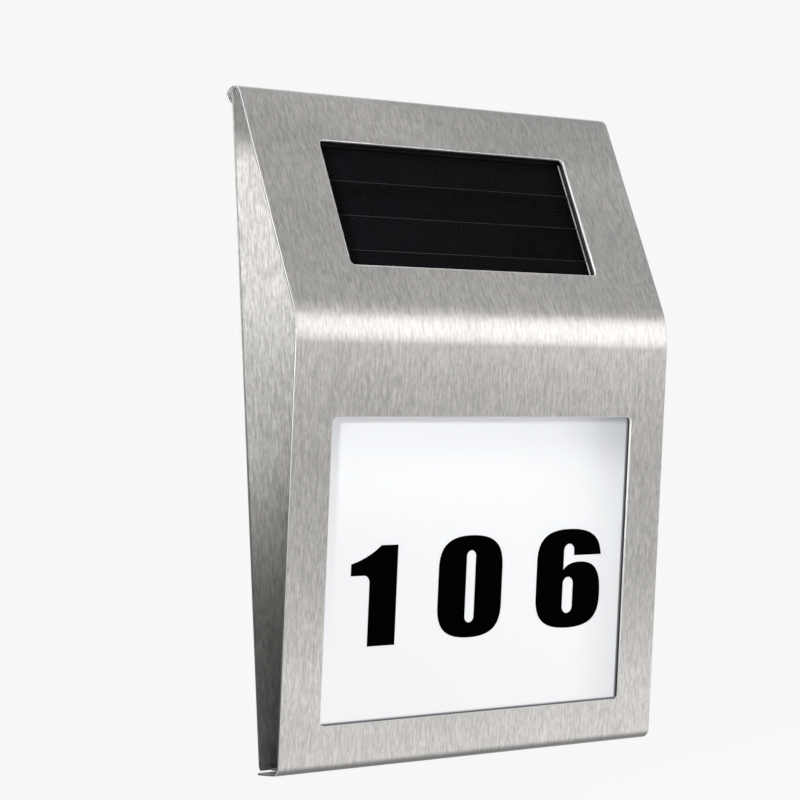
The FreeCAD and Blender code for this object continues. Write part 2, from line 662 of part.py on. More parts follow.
def door_slide(x, gap):
    """The battery door's plate and its two tongues over a length, grown all round by a gap."""
    half = DOOR_HALF_HEIGHT + gap
    plate = box(x, (DOOR_FRONT - gap, BACK_REAR + gap), (BATTERY_Z - half, BATTERY_Z + half))
    half = half + DOOR_TONGUE
    rails = box(x, (DOOR_FRONT - gap, DOOR_FRONT + DOOR_TONGUE_THICKNESS + gap),
                (BATTERY_Z - half, BATTERY_Z + half))
    return plate.fuse(rails)


def housing_back():
    """Flat back with the door's open-ended slide, the switch slot and the screw holes."""
    back = back_outline(BACK_FRONT, BACK_REAR)
    back = back.cut(door_slide((-HOUSING_HALF - FIT, DOOR_RIGHT + DOOR_GAP), DOOR_GAP))
    opening = DOOR_HALF_HEIGHT - DOOR_GAP
    back = back.cut(box((BAY_LEFT, BAY_RIGHT), (BACK_FRONT - CUT, BACK_REAR),
                        (BATTERY_Z - opening, BATTERY_Z + opening)))
    slot = KNOB_STEM / 2 + KNOB_GAP
    left = knob_x() - slot
    back = back.cut(box((left, left + 2 * slot + SWITCH_TRAVEL), (BACK_FRONT - CUT, BACK_REAR + CUT),
                        (BEND.z + SWITCH_UP - slot, BEND.z + SWITCH_UP + slot)))
    for x, up in BACK_SCREWS:
        start = V(x, BACK_FRONT - CUT, BEND.z + up)
        back = back.cut(rod(SMALL_SCREW_RADIUS + STUD_GAP, BACK_THICKNESS + 2 * CUT, start, ALONG_Y))
    return back.removeSplitter()


def battery_door():
    """Sliding door with grip ribs across its left end."""
    door = door_slide((DOOR_LEFT, DOOR_RIGHT), 0)
    for rib in range(GRIP_RIBS):
        x = DOOR_LEFT + 2 * GRIP_PITCH + rib * GRIP_PITCH
        ridge = box((x, x + GRIP_PITCH / 2), (BACK_REAR, BACK_REAR + GRIP_HEIGHT),
                    (BATTERY_Z - BATTERY_RADIUS + GRIP_PITCH, BATTERY_Z + BATTERY_RADIUS - GRIP_PITCH))
        door = door.fuse(ridge)
    return door.removeSplitter()


def small_screw(head_seat, length, axis):
    """A round-headed screw whose head sits on a point and whose shank runs along an axis."""
    top = head_seat - axis * SMALL_HEAD_HEIGHT
    head = rod(SMALL_HEAD_RADIUS, SMALL_HEAD_HEIGHT, top, axis, RING_FLAT_COUNT)
    return head.fuse(rod(SMALL_SCREW_RADIUS, length, head_seat, axis))


def housing_screws():
    screws = []
    for x, up in BACK_SCREWS:
        screws.append(small_screw(V(x, BACK_REAR, BEND.z + up), BACK_SCREW_LENGTH, -ALONG_Y))
    return Part.makeCompound(screws)


def battery():
    """Rechargeable cell with its raised end to the right."""
    length = BATTERY_LENGTH - BATTERY_NUB
    can = Part.makeCylinder(BATTERY_RADIUS, length, V(BATTERY_LEFT, BATTERY_Y, BATTERY_Z), ALONG_X)
    start = V(BATTERY_LEFT + length, BATTERY_Y, BATTERY_Z)
    return can.fuse(Part.makeCylinder(BATTERY_NUB_RADIUS, BATTERY_NUB, start, ALONG_X))


def contact_plate(x):
    """Square contact plate against the end of the battery bay."""
    return box((x, x + CONTACT), (BATTERY_Y - CONTACT_HALF, BATTERY_Y + CONTACT_HALF),
               (BATTERY_Z - CONTACT_HALF, BATTERY_Z + CONTACT_HALF))


def battery_contact_plus():
    """Plate with a dimple that meets the battery's raised end."""
    half = BATTERY_NUB_RADIUS / 2
    dimple = box((BATTERY_RIGHT, BAY_RIGHT), (BATTERY_Y - half, BATTERY_Y + half),
                 (BATTERY_Z - half, BATTERY_Z + half))
    return contact_plate(BAY_RIGHT - CONTACT).fuse(dimple)


def battery_contact_minus():
    """Plate with a bowed leaf that presses on the battery's flat end."""
    plate = BAY_LEFT + CONTACT
    half = CONTACT_HALF
    nose = SPRING_NOSE / 2
    outer = [(plate, half), (BATTERY_LEFT, nose), (BATTERY_LEFT, -nose), (plate, -half)]
    inner = [(plate, -half + CONTACT), (BATTERY_LEFT - CONTACT, -nose)]
    inner += [(BATTERY_LEFT - CONTACT, nose), (plate, half - CONTACT)]
    points = [V(x, BATTERY_Y - half / 2, BATTERY_Z + z) for x, z in outer + inner]
    return contact_plate(BAY_LEFT).fuse(prism(points, ALONG_Y * half))


def control_board():
    board = box((BOARD_LEFT, BOARD_RIGHT), (BOARD_FRONT, BOARD_REAR),
                (BEND.z + BOARD_LOW, BEND.z + BOARD_HIGH))
    for centre in board_bosses():
        start = V(centre.x, BOARD_FRONT, centre.z)
        board = board.cut(rod(SMALL_SCREW_RADIUS + STUD_GAP, BOARD, start, ALONG_Y))
    return board


def board_parts():
    """Driver chip, choke and capacitor on the board's front."""
    x = WIRE_X + PARTS_PITCH
    middle = BEND.z + (BOARD_LOW + BOARD_HIGH) / 2
    chip = box((x, x + CHIP[0]), (BOARD_FRONT - CHIP[1], BOARD_FRONT), (middle - CHIP[2], middle))
    choke = rod(CHOKE_RADIUS, CHOKE_HEIGHT, V(x, BOARD_FRONT, middle + PARTS_PITCH),
                -ALONG_Y, RING_FLAT_COUNT)
    capacitor = rod(CAPACITOR_RADIUS, CAPACITOR_HEIGHT, V(x + 2 * PARTS_PITCH, BOARD_FRONT, middle),
                    -ALONG_Y, RING_FLAT_COUNT)
    return Part.makeCompound([chip, choke, capacitor])


def board_screws():
    screws = []
    for centre in board_bosses():
        screws.append(small_screw(V(centre.x, BOARD_REAR, centre.z), BOARD_SCREW_LENGTH, -ALONG_Y))
    return Part.makeCompound(screws)


def knob_x():
    """Middle of the switch knob in its off position."""
    return SWITCH_X - SWITCH_TRAVEL / 2


def switch_body():
    """Slide switch on the board: a shell open to the rear round the knob's foot."""
    z = BEND.z + SWITCH_UP
    half = SWITCH_LENGTH / 2
    body = box((SWITCH_X - half, SWITCH_X + half), (BOARD_REAR, BACK_FRONT - KNOB_GAP),
               (z - SWITCH_WIDTH / 2, z + SWITCH_WIDTH / 2))
    reach = (KNOB_LENGTH + SWITCH_TRAVEL) / 2 + KNOB_GAP
    inner = SWITCH_WIDTH / 2 - SWITCH_WALL
    return body.cut(box((SWITCH_X - reach, SWITCH_X + reach), (BOARD_REAR + SWITCH_WALL, BACK_REAR),
                        (z - inner, z + inner)))


def switch_knob():
    z = BEND.z + SWITCH_UP
    inner = SWITCH_WIDTH / 2 - SWITCH_WALL - KNOB_GAP
    foot = box((knob_x() - KNOB_LENGTH / 2, knob_x() + KNOB_LENGTH / 2),
               (BOARD_REAR + SWITCH_WALL + KNOB_GAP, BACK_FRONT - 2 * KNOB_GAP), (z - inner, z + inner))
    stem = KNOB_STEM / 2
    return foot.fuse(box((knob_x() - stem, knob_x() + stem),
                         (BACK_FRONT - SWITCH_WALL, BACK_REAR + KNOB_PROUD), (z - stem, z + stem)))


def number_lens():
    return on_lower(slab(LENS_HALF, -LENS_FOOT, -LENS_TOP, (LENS_FRONT, LENS_BACK), WINDOW_CORNER))


def tray_taper():
    """Lean of the tray's rear wall against the cover's lower slope."""
    return math.atan2(TRAY_DEEP - TRAY_SHALLOW, TUB_FOOT - TUB_TOP)


def on_tray_rear(shape, shrink):
    """Leans a shape from the XZ plane onto the tray's rear wall, and returns it."""
    down = (TUB_FOOT + TUB_TOP - TRAY_DRAFT) / 2
    depth = TRAY_DEEP - shrink - (down - TUB_TOP) * math.tan(tray_taper())
    shape.rotate(ORIGIN, ALONG_X, -math.degrees(tray_taper()))
    shape.translate(V(0, depth, -down))
    return shape


def tray_reach(shrink):
    """Half the height of the tray's rear wall, along its lean."""
    return ((TUB_FOOT - TUB_TOP - TRAY_DRAFT) / 2 - shrink) / math.cos(tray_taper())


def tub_outline(half_width, low, high, corner):
    """A rectangle in the XZ plane with its corners cut off square to their diagonals."""
    points = []
    for x, z in ((half_width, high), (-half_width, high), (-half_width, low), (half_width, low)):
        inward_x = math.copysign(corner, -x)
        inward_z = corner if z == low else -corner
        pair = [V(x, 0, z + inward_z), V(x + inward_x, 0, z)]
        points += pair if len(points) % 4 == 0 else pair[::-1]
    return Part.makePolygon(points + points[:1])


def tub(shrink):
    """The tray's tub as a drafted wedge with a level top, shrunk on all sides but its open front."""
    half = TUB_HALF - shrink
    front = tub_outline(half, shrink - TUB_FOOT, -TUB_TOP - shrink, TUB_CORNER)
    front.translate(ALONG_Y * (LENS_BACK - THREAD_GAP))
    reach = tray_reach(shrink)
    rear = on_tray_rear(tub_outline(half - TRAY_DRAFT, -reach, reach, TUB_CORNER), shrink)
    return Part.makeLoft([front, rear], True, True)


def led_board_middle():
    return LED_BOARD_FRONT + LED_BOARD_WIDTH / 2


def light_tray():
    """White wedge tray behind the lens, with a lens recess, ears and two board bosses."""
    rim = slab(RIM_HALF, -RIM_FOOT, -RIM_TOP, (SHEET, SHEET + TRAY_RIM_DEPTH), TRAY_CORNER)
    tray = rim.fuse(tub(0))
    recess = slab(LENS_HALF + FIT, -LENS_FOOT - FIT, -LENS_TOP + FIT, (0, LENS_BACK), WINDOW_CORNER / 2)
    tray = tray.cut(recess)
    tray = tray.cut(tub(TRAY_WALL))
    y = led_board_middle()
    for side in (-1, 1):
        start = V(side * LED_SCREWS_X, y, -LED_BOARD_TOP)
        boss = rod(BACK_BOSS_RADIUS, LED_BOARD_STAND + TRAY_WALL / 2, start)
        pilot = rod(SMALL_SCREW_RADIUS + THREAD_GAP, LED_BOARD_STAND + TRAY_WALL / 2, start)
        tray = tray.fuse(boss).cut(pilot)
        for down in TRAY_EARS:
            tab, hole = ear(side * (RIM_HALF + TRAY_EAR_REACH), -down, TRAY_EAR_REACH)
            tray = tray.fuse(tab).cut(hole)
    start = V(WIRE_X, TRAY_WIRE_DEPTH, -LED_BOARD_TOP)
    tray = tray.cut(rod(GROMMET_NECK + THREAD_GAP, LED_BOARD_STAND + 3 * TRAY_WALL, start,
                        flats=RING_FLAT_COUNT))
    return on_lower(tray.removeSplitter())


def reflector_sheet():
    """White foil on the tray's sloping rear wall."""
    half = TUB_HALF - TRAY_WALL - TRAY_DRAFT - FIT
    reach = tray_reach(TRAY_WALL) - FIT
    foil = Part.Face(tub_outline(half, -reach, reach, TUB_CORNER)).extrude(-ALONG_Y * FOIL)
    return on_lower(on_tray_rear(foil, TRAY_WALL))


def led_board():
    half = LED_BOARD_LENGTH / 2
    board = box((-half, half), (LED_BOARD_FRONT, LED_BOARD_FRONT + LED_BOARD_WIDTH),
                (-LED_BOARD_TOP - BOARD, -LED_BOARD_TOP))
    for side in (-1, 1):
        start = V(side * LED_SCREWS_X, led_board_middle(), -LED_BOARD_TOP - BOARD)
        board = board.cut(rod(SMALL_SCREW_RADIUS + STUD_GAP, BOARD, start))
    return on_lower(board)


def leds():
    """Lamps on the board's underside, shining down into the wedge."""
    lamps = []
    top = -LED_BOARD_TOP - BOARD
    y = led_board_middle()
    for number in range(LED_COUNT):
        x = (number - (LED_COUNT - 1) / 2) * LED_PITCH
        lamps.append(on_lower(box((x - LED_LENGTH / 2, x + LED_LENGTH / 2),
                                  (y - LED_WIDTH / 2, y + LED_WIDTH / 2), (top - LED_HEIGHT, top))))
    return Part.makeCompound(lamps)


def led_board_screws():
    screws = []
    for side in (-1, 1):
        seat = V(side * LED_SCREWS_X, led_board_middle(), -LED_BOARD_TOP - BOARD)
        length = BOARD + LED_BOARD_STAND + TRAY_WALL / 2 - FIT
        screws.append(on_lower(small_screw(seat, length, ALONG_Z)))
    return Part.makeCompound(screws)


def grommet(base, wall):
    """A rubber ring with a flange on each side of a wall above its base point."""
    below = base - ALONG_Z * GROMMET_LIP
    neck = rod(GROMMET_NECK, wall, base, flats=RING_FLAT_COUNT)
    below_flange = rod(GROMMET_FLANGE, GROMMET_LIP, below, flats=RING_FLAT_COUNT)
    above_flange = rod(GROMMET_FLANGE, GROMMET_LIP, base + ALONG_Z * wall, flats=RING_FLAT_COUNT)
    bore = rod(GROMMET_BORE, wall + 2 * GROMMET_LIP, below)
    return below_flange.fuse(neck).fuse(above_flange).cut(bore)


def housing_grommet():
    return grommet(V(WIRE_X, -WIRE_OUT, housing_ends()[0]), HOUSING_WALL)


def tray_grommet():
    return on_lower(grommet(V(WIRE_X, TRAY_WIRE_DEPTH, -TUB_TOP - TRAY_WALL), TRAY_WALL))


def led_wires():
    """Two wires from the control board, through both grommets, to the lamp board."""
    wires = []
    bottom = housing_ends()[0]
    for x in (WIRE_X - WIRE_PITCH / 2, WIRE_X + WIRE_PITCH / 2):
        points = [lower_point(LED_BOARD_TOP, TRAY_WIRE_DEPTH, x)]
        points.append(lower_point(TUB_TOP - WIRE_LOOP, TRAY_WIRE_DEPTH, x))
        points.append(V(x, -WIRE_OUT, bottom - WIRE_LOOP))
        points.append(V(x, -WIRE_OUT, BEND.z + LED_WIRE_UP))
        points.append(V(x, BOARD_FRONT, BEND.z + LED_WIRE_UP))
        wires.append(tube(points, WIRE_RADIUS, WIRE_BEND))
    return Part.makeCompound(wires)


def solar_lead_points():
    """Where the panel's two leads leave the cells' back."""
    z = BEND.z + SOLAR_WIRE_UP
    return [V(WIRE_X, 0, z), V(WIRE_X - SOLAR_WIRE_PITCH, 0, z)]


def solar_wires():
    """Two short straight leads from the panel to the control board."""
    leads = []
    for lead in solar_lead_points():
        start = V(lead.x, upper_y(STACK, lead.z) + FIT, lead.z)
        leads.append(rod(WIRE_RADIUS, BOARD_FRONT - start.y, start, ALONG_Y))
    return Part.makeCompound(leads)


def battery_wires():
    """Leads from the tops of both contacts, over the bay's divider, to the control board."""
    top = BATTERY_Z + CONTACT_HALF
    over = BATTERY_Z + BATTERY_RADIUS + WIRE_TIGHT_BEND
    edge = WIRE_RADIUS + THREAD_GAP
    wires = []
    for row, x in enumerate((BAY_RIGHT - edge, BAY_LEFT + edge), 1):
        y = BOARD_FRONT - WIRE_TIGHT_BEND - row * WIRE_PITCH
        end = BOARD_LEFT + (1 + 2 * row) * WIRE_PITCH
        points = [V(x, y, top), V(x, y, over), V(end, y, over), V(end, BOARD_FRONT, over)]
        wires.append(tube(points, WIRE_RADIUS, WIRE_TIGHT_BEND))
    return Part.makeCompound(wires)


def number_one():
    """Digit 1: a stem with a flag that has a hollow upper edge and a rounded armpit."""
    left = ONE_STEM_LEFT
    right = left + ONE_STEM_WIDTH
    tip = left - ONE_FLAG_REACH
    flag_top = -ONE_TOP - ONE_FLAG_DROP
    flag_low = flag_top - ONE_FLAG_END
    shoulder = left + ONE_SHOULDER
    dip = V((tip + shoulder) / 2, 0, (flag_top - ONE_TOP) / 2 - ONE_FLAG_DIP)
    edges = [Part.Arc(V(tip, 0, flag_top), dip, V(shoulder, 0, -ONE_TOP)).toShape()]
    corners = [V(shoulder, 0, -ONE_TOP), V(right, 0, -ONE_TOP), V(right, 0, -ONE_FOOT), V(left, 0, -ONE_FOOT)]
    for start, end in zip(corners, corners[1:]):
        edges.append(Part.LineSegment(start, end).toShape())
    edges += round_path([corners[-1], V(left, 0, flag_low), V(tip, 0, flag_low)], [ONE_ROUND])
    edges.append(Part.LineSegment(V(tip, 0, flag_low), V(tip, 0, flag_top)).toShape())
    return film(Part.Face(Part.Wire(edges)))


def film(face):
    """A face in the XZ plane thickened to vinyl film on the front of the lens."""
    face.translate(ALONG_Y * (LENS_FRONT - FILM))
    return face.extrude(ALONG_Y * FILM)


def round_corner(side, apex, square):
    """A rounded corner from the end of an upright side to the apex of the form's end."""
    corner = V(side.x, 0, apex.z)
    curve = Part.BezierCurve()
    curve.setPoles([side, side + (corner - side) * square, apex + (corner - apex) * square, apex])
    return curve.toShape()


def bean(left, width, top, foot, curve, square=OVAL):
    """An upright form with straight sides and rounded ends, as a film."""
    high, low = V(left + width / 2, 0, -top), V(left + width / 2, 0, -foot)
    edges = []
    for x in (left, left + width):
        upper, lower = V(x, 0, -top - curve), V(x, 0, -foot + curve)
        edges.append(Part.LineSegment(upper, lower).toShape())
        edges += [round_corner(upper, high, square), round_corner(lower, low, square)]
    return film(Part.Face(Part.Wire(Part.__sortEdges__(edges))))


def number_zero():
    outline = bean(ZERO_LEFT, ZERO_WIDTH, ZERO_TOP, ZERO_FOOT, DIGIT_CURVE, DIGIT_SQUARE)
    slot_left = ZERO_LEFT + (ZERO_WIDTH - ZERO_SLOT) / 2
    slot = bean(slot_left, ZERO_SLOT, ZERO_TOP + ZERO_STROKE, ZERO_FOOT - ZERO_STROKE, ZERO_SLOT / 2)
    return outline.cut(slot)


def number_six():
    """Digit 6: the outline of the 0 with an eye, an upper slot and an open jaw over the bowl."""
    right = SIX_LEFT + SIX_WIDTH
    digit = bean(SIX_LEFT, SIX_WIDTH, SIX_TOP, SIX_FOOT, DIGIT_CURVE, DIGIT_SQUARE)
    digit = digit.cut(bean(SIX_SLOT_LEFT, SIX_SLOT, SIX_EYE_TOP, SIX_FOOT - SIX_STROKE, SIX_SLOT / 2))
    depth = (LENS_FRONT - 2 * FILM, LENS_FRONT + FILM)
    bowl_middle = SIX_BOWL_TOP + SIX_BOWL_CURVE
    slot = bean(SIX_SLOT_LEFT, SIX_SLOT, SIX_TOP + SIX_STROKE, bowl_middle, SIX_SLOT / 2)
    jaw = box((SIX_SLOT_LEFT, right + CUT), depth, (-bowl_middle, -SIX_JAW_TOP)).fuse(slot)
    bowl = bean(right - SIX_BOWL_WIDTH, SIX_BOWL_WIDTH, SIX_BOWL_TOP, SIX_FOOT, SIX_BOWL_CURVE,
                DIGIT_SQUARE)
    return digit.cut(jaw.cut(bowl)).removeSplitter()


def main():
    parts = {
        "wall_plate": wall_plate(),
        "front_cover": front_cover(),
        "cover_studs": cover_studs(),
        "stud_nuts": stud_nuts(),
        "lock_screw": lock_screw(),
        "lock_nut": lock_nut(),
        "number_lens": number_lens(),
        "lens_gasket": lens_gasket(),
        "digit_one": on_lower(number_one()),
        "digit_zero": on_lower(number_zero()),
        "digit_six": on_lower(number_six()),
        "light_tray": light_tray(),
        "reflector_sheet": reflector_sheet(),
        "led_board": led_board(),
        "leds": leds(),
        "led_board_screws": led_board_screws(),
        "tray_grommet": tray_grommet(),
        "led_wires": led_wires(),
        "solar_glass": solar_glass(),
        "solar_cells": solar_cells(),
        "solar_gasket": solar_gasket(),
        "solar_housing": solar_housing(),
        "housing_seal": housing_seal(),
        "housing_back": housing_back(),
        "housing_screws": housing_screws(),
        "housing_grommet": housing_grommet(),
        "battery_door": battery_door(),
        "battery": battery(),
        "battery_contact_plus": battery_contact_plus(),
        "battery_contact_minus": battery_contact_minus(),
        "control_board": control_board(),
        "board_parts": board_parts(),
        "board_screws": board_screws(),
        "switch_body": switch_body(),
        "switch_knob": switch_knob(),
        "solar_wires": solar_wires(),
        "battery_wires": battery_wires(),
    }
    os.makedirs("parts", exist_ok=True)
    for name, shape in parts.items():
        shape.exportStep("parts/" + name + ".step")


main()
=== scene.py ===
import json
import math

import bmesh
import bpy
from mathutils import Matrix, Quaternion, Vector


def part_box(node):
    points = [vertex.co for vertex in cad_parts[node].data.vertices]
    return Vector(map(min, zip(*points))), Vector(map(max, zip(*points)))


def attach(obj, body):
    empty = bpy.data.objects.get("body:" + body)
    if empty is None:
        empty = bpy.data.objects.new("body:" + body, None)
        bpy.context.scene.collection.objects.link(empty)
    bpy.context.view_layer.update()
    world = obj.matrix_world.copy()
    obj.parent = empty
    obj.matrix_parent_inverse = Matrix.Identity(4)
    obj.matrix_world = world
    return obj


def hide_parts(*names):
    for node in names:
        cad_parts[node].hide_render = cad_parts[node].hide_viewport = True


# A solar house number sign: a folded brushed-steel cover with a solar panel and a lit number
# window, hooked on a wall plate.  Metres, in the part's own frame: X right, Y to the wall, Z up.
MM = 0.001

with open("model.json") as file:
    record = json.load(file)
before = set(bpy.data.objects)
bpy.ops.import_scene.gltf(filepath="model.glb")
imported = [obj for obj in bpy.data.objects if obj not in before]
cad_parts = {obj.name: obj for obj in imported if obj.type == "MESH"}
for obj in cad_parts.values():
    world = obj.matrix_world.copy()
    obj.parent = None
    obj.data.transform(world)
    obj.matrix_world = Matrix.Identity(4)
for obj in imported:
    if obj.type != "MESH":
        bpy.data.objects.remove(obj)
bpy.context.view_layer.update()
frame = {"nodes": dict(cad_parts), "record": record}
nodes = frame["nodes"]

# The folded cover: the part's own sizes, but for a wider middle bend, softened edges and a foot
# flange left whole where the solid has the lock screw's hole
SHEET = 1.0 * MM
HALF_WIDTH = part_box("front_cover")[1].x
BEND = Vector((0, -40.9, 38.0)) * MM          # sharp corner of the middle bend
UPPER = math.radians(19.4)
LOWER = math.radians(8.3)
LOWER_LENGTH = 164.8 * MM
BEND_RADIUS = 36.0 * MM
BEND_STEP = math.radians(2)
LEAST_BEND_STEPS = 10
FOOT_RADIUS = 4.0 * MM
FOOT_GAP = 4.0 * MM
CURL_RADIUS = 5.2 * MM
CURL_GAP = 0.5 * MM
CURL_LIP = 1.0 * MM
CURL_CORNER = 4.0 * MM
WINDOW_CORNER = 2.0 * MM
WINDOW_CORNER_STEPS = 8
SOLAR_WINDOW = (119.4 * MM, 22.2 * MM, 51.6 * MM)      # width, lower edge above the bend, height
NUMBER_WINDOW = (144.8 * MM, 35.7 * MM, 112.3 * MM)    # width, upper edge below the bend, height
EDGE_BEVEL = 0.28 * MM
SAME_PLACE = 1e-7                                      # cuts closer than this are one cut
ROUNDING = 1e-9
WELD = 1e-6
SHARP_ANGLE = math.radians(32)
CUT_EDGE_ANGLE = math.radians(50)                      # folds sharper than this are bevelled
MOULDED_EDGE_ANGLE = math.radians(40)
FLAT_ANGLE = math.radians(0.5)                         # faces this close in turn are one face

# Painted shade on the steel: (where a tone starts, where it ends), and reaches of its edges
FLANGE_SHADE = (0.8 * MM, 3.6 * MM)        # above the cover's foot: painted shade along its foot flange
# Painted shade on the wall plate: darker towards its foot, with a painted shadow of the curl at its
# top
PLATE_FOOT_SHADE = (-90.0 * MM, 0.0)
PLATE_CURL_SHADOW = (98.0 * MM, 112.0 * MM)
PLATE_FACE = -5.5 * MM                    # the painted shade on the plate's front lies before this
PLATE_EDGE = 0.15 * MM                    # reach of the painted shade on its side cut edges from both sides
RIM_DEPTH = 0.04 * MM                     # reach of the painted shade on the cover's cut rim from its sides
BEVEL_DEPTH = 0.5 * MM                    # reach of the painted shade on the bevel beside that rim
BEVEL_FOOT = BEND.z - 4.0 * MM            # the bevel has no painted shade below this

# Painted shade over the number lens, and a painted shadow along its foot and right rim
LENS_RIGHT_SHADE = (46.0 * MM, 72.0 * MM)
LENS_TOP_SHADE = (30.0 * MM, 6.0 * MM)     # below its upper edge
LENS_CORNER_SIDE = (30.0 * MM, 66.0 * MM)
LENS_CORNER_TOP = (45.0 * MM, 6.0 * MM)   # below its upper edge
LENS_HEIGHT_SHADE = (-100.0 * MM, 0.0)
LENS_FOOT_SHADOW = (5.0 * MM, 6.0 * MM)      # above its lower edge
LENS_SIDE_SHADOW = (71.5 * MM, 72.2 * MM)

# Silver bars of the solar strips, measured up the upper slope from the middle bend
CELL_TOP = 73.7 * MM
CELL_PITCH = 14.45 * MM
CELL_SIDE = 60.6 * MM
SILVER_WIDTH = 0.33 * MM
FINGERS_PER_METRE = 900.0
FINGER_SHARE = 0.12

BATTERY_CAP = 2.2 * MM                    # bare metal at the raised end

# Lamp wires: their route by depth and height and their places across, in millimetres
WIRE_RADIUS = 0.6 * MM
WIRE_ROUTE = [(-15.7, 57.2), (-24.5, 57.2), (-24.5, 40.27), (-26.381, 11.216), (-25.313, 3.894)]
WIRE_PLACES = (25.35, 26.65)

# Studs, nuts and screws, in millimetres
STUD_LENGTH = 6.5
STUD_RADIUS = 1.5
THREAD_PITCH = 0.5
STUD_TURNS = 10
NUT_FLATS = 5.5
NUT_THICKNESS = 2.4
NUT_BORE = 1.56
BACK_SCREW_PITCH = 0.8
BACK_SCREW_TURNS = 7

# Backdrop, in metres
BACKDROP_HALF_WIDTH = 2.6
BACKDROP_FRONT = -0.40
BACKDROP_REAR = 1.45
BACKDROP_FLOOR = -0.20
BACKDROP_BEND = 0.35
BACKDROP_TOP = 1.9
BACKDROP_STEPS = 12

# Camera at the photograph's viewpoint
CAMERA_PLACE = Vector((-575.694, -741.572, -47.873)) * MM
CAMERA_HEADING = 0.6475
CAMERA_PITCH = 0.0643
CAMERA_ROLL = -0.0440
FOCAL_LENGTH = 108.64
SENSOR = 36.0


# ---- shader kit

class Value:
    """A shader socket that takes part in Python arithmetic."""

    def __init__(self, finish, socket):
        self.finish = finish
        self.socket = socket

    def maths(self, operation, *values):
        return self.finish.node("Math", {"operation": operation}, *values)

    def __add__(self, other):
        return self.maths("ADD", self, other)

    def __radd__(self, other):
        return self.maths("ADD", other, self)

    def __sub__(self, other):
        return self.maths("SUBTRACT", self, other)

    def __rsub__(self, other):
        return self.maths("SUBTRACT", other, self)

    def __mul__(self, other):
        return self.maths("MULTIPLY", self, other)

    def __rmul__(self, other):
        return self.maths("MULTIPLY", other, self)

    def __truediv__(self, other):
        return self.maths("DIVIDE", self, other)

    def __gt__(self, other):
        return self.maths("GREATER_THAN", self, other)

    def __lt__(self, other):
        return self.maths("LESS_THAN", self, other)

    def __abs__(self):
        return self.maths("ABSOLUTE", self)

    def highest(self, other):
        return self.maths("MAXIMUM", self, other)

    def between(self, low, high):
        """0 at and below low, 1 at and above high, with an eased way between them."""
        settings = {"interpolation_type": "SMOOTHSTEP"}
        return self.finish.node("MapRange", settings, self, low, high)


class Finish:
    """A material, with one method that adds any node."""

    def __init__(self, name):
        self.material = bpy.data.materials.new(name)
        self.material.use_nodes = True
        self.tree = self.material.node_tree
        self.tree.nodes.clear()

    def node(self, kind, settings=None, *values, output=0, **named):
        """Adds a node: its settings first, then its inputs in order or by name."""
        made = self.tree.nodes.new("ShaderNode" + kind)
        for setting, value in (settings or {}).items():
            setattr(made, setting, value)
        sockets = [s for s in made.inputs if s.enabled]
        pairs = list(zip(sockets, values))
        pairs += [(made.inputs[name.replace("_", " ")], value) for name, value in named.items()]
        for socket, value in pairs:
            if isinstance(value, Value):
                self.tree.links.new(value.socket, socket)
            elif value is not None:
                socket.default_value = value
        outputs = [s for s in made.outputs if s.enabled]
        return Value(self, outputs[output]) if outputs else None

    def place(self):
        """Object coordinates as x, y and z in metres."""
        spot = self.node("TexCoord", output=3)
        return [self.node("SeparateXYZ", None, spot, output=i) for i in range(3)]

    def noise(self, scale, stretch=(1, 1, 1), detail=3.0, roughness=0.5):
        """Noise from 0 to 1 with so many grains per metre, stretched along the axes."""
        spot = self.node("TexCoord", output=3)
        stretched = self.node("VectorMath", {"operation": "MULTIPLY"}, spot, stretch)
        return self.node("TexNoise", None, Vector=stretched, Scale=scale, Detail=detail,
                         Roughness=roughness)

    def blend(self, factor, one, two):
        """A colour between two colours."""
        return self.node("Mix", {"data_type": "RGBA"}, factor, one, two)

    def bump(self, height, distance, strength):
        """A surface normal tilted by a height that stands for so many metres."""
        return self.node("Bump", None, Height=height, Distance=distance, Strength=strength)

    def surface(self, **named):
        """The Principled shader of this material, wired to its output."""
        shader = self.node("BsdfPrincipled", None, **named)
        self.node("OutputMaterial", None, Surface=shader)
        return self.material


def colour(red, green, blue):
    return (red, green, blue, 1.0)


# ---- finishes

def brushed_steel(name, dark, pale, roughness):
    """Sheet brushed along its height: fine lines, longer soft streaks and handling marks, with
    painted shade.
    """
    steel = Finish(name)
    lines = steel.noise(1.0, (2200, 200, 200), detail=3.0, roughness=0.7)
    streaks = steel.noise(1.0, (900, 60, 60), detail=2.0)
    marks = steel.noise(620.0, (1, 0.6, 0.6), detail=3.0, roughness=0.6)
    clouds = steel.noise(24.0, detail=2.0)
    shade = (0.56 * lines + 0.12 * streaks + 0.22 * marks + 0.10 * clouds).between(0.35, 0.65)
    rough = roughness + 0.12 * lines + 0.05 * marks
    normal = steel.bump(lines + 0.4 * streaks + 0.4 * marks, 0.00003, 0.6)
    x, y, z = steel.place()
    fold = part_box("front_cover")[0].z
    # Painted shade: the cover's foot flange goes near black, for the shade along its foot
    painted_shade = 0.85 * (1.0 - z.between(fold + FLANGE_SHADE[0], fold + FLANGE_SHADE[1]))
    if name == "brushed_plate":
        # Painted shade on the plate's front: darker towards the bottom, and a painted shadow of the
        # curl at its top
        foot = 0.40 * (1.0 - z.between(*PLATE_FOOT_SHADE))
        painted_plate_shade = foot.highest(0.62 * z.between(*PLATE_CURL_SHADOW))
        # Painted shade on the plate's side cut edges
        sides = 0.8 * (abs(x) > HALF_WIDTH - PLATE_EDGE)
        painted_shade = (painted_plate_shade * (y < PLATE_FACE)).highest(sides)
    # Where the painted shade lies, the steel's tone goes to a near black
    tone = steel.blend(painted_shade, steel.blend(shade, dark, pale), colour(0.08, 0.08, 0.08))
    return steel.surface(Base_Color=tone, Metallic=1.0, Roughness=rough, Normal=normal,
                         Anisotropic=0.6)


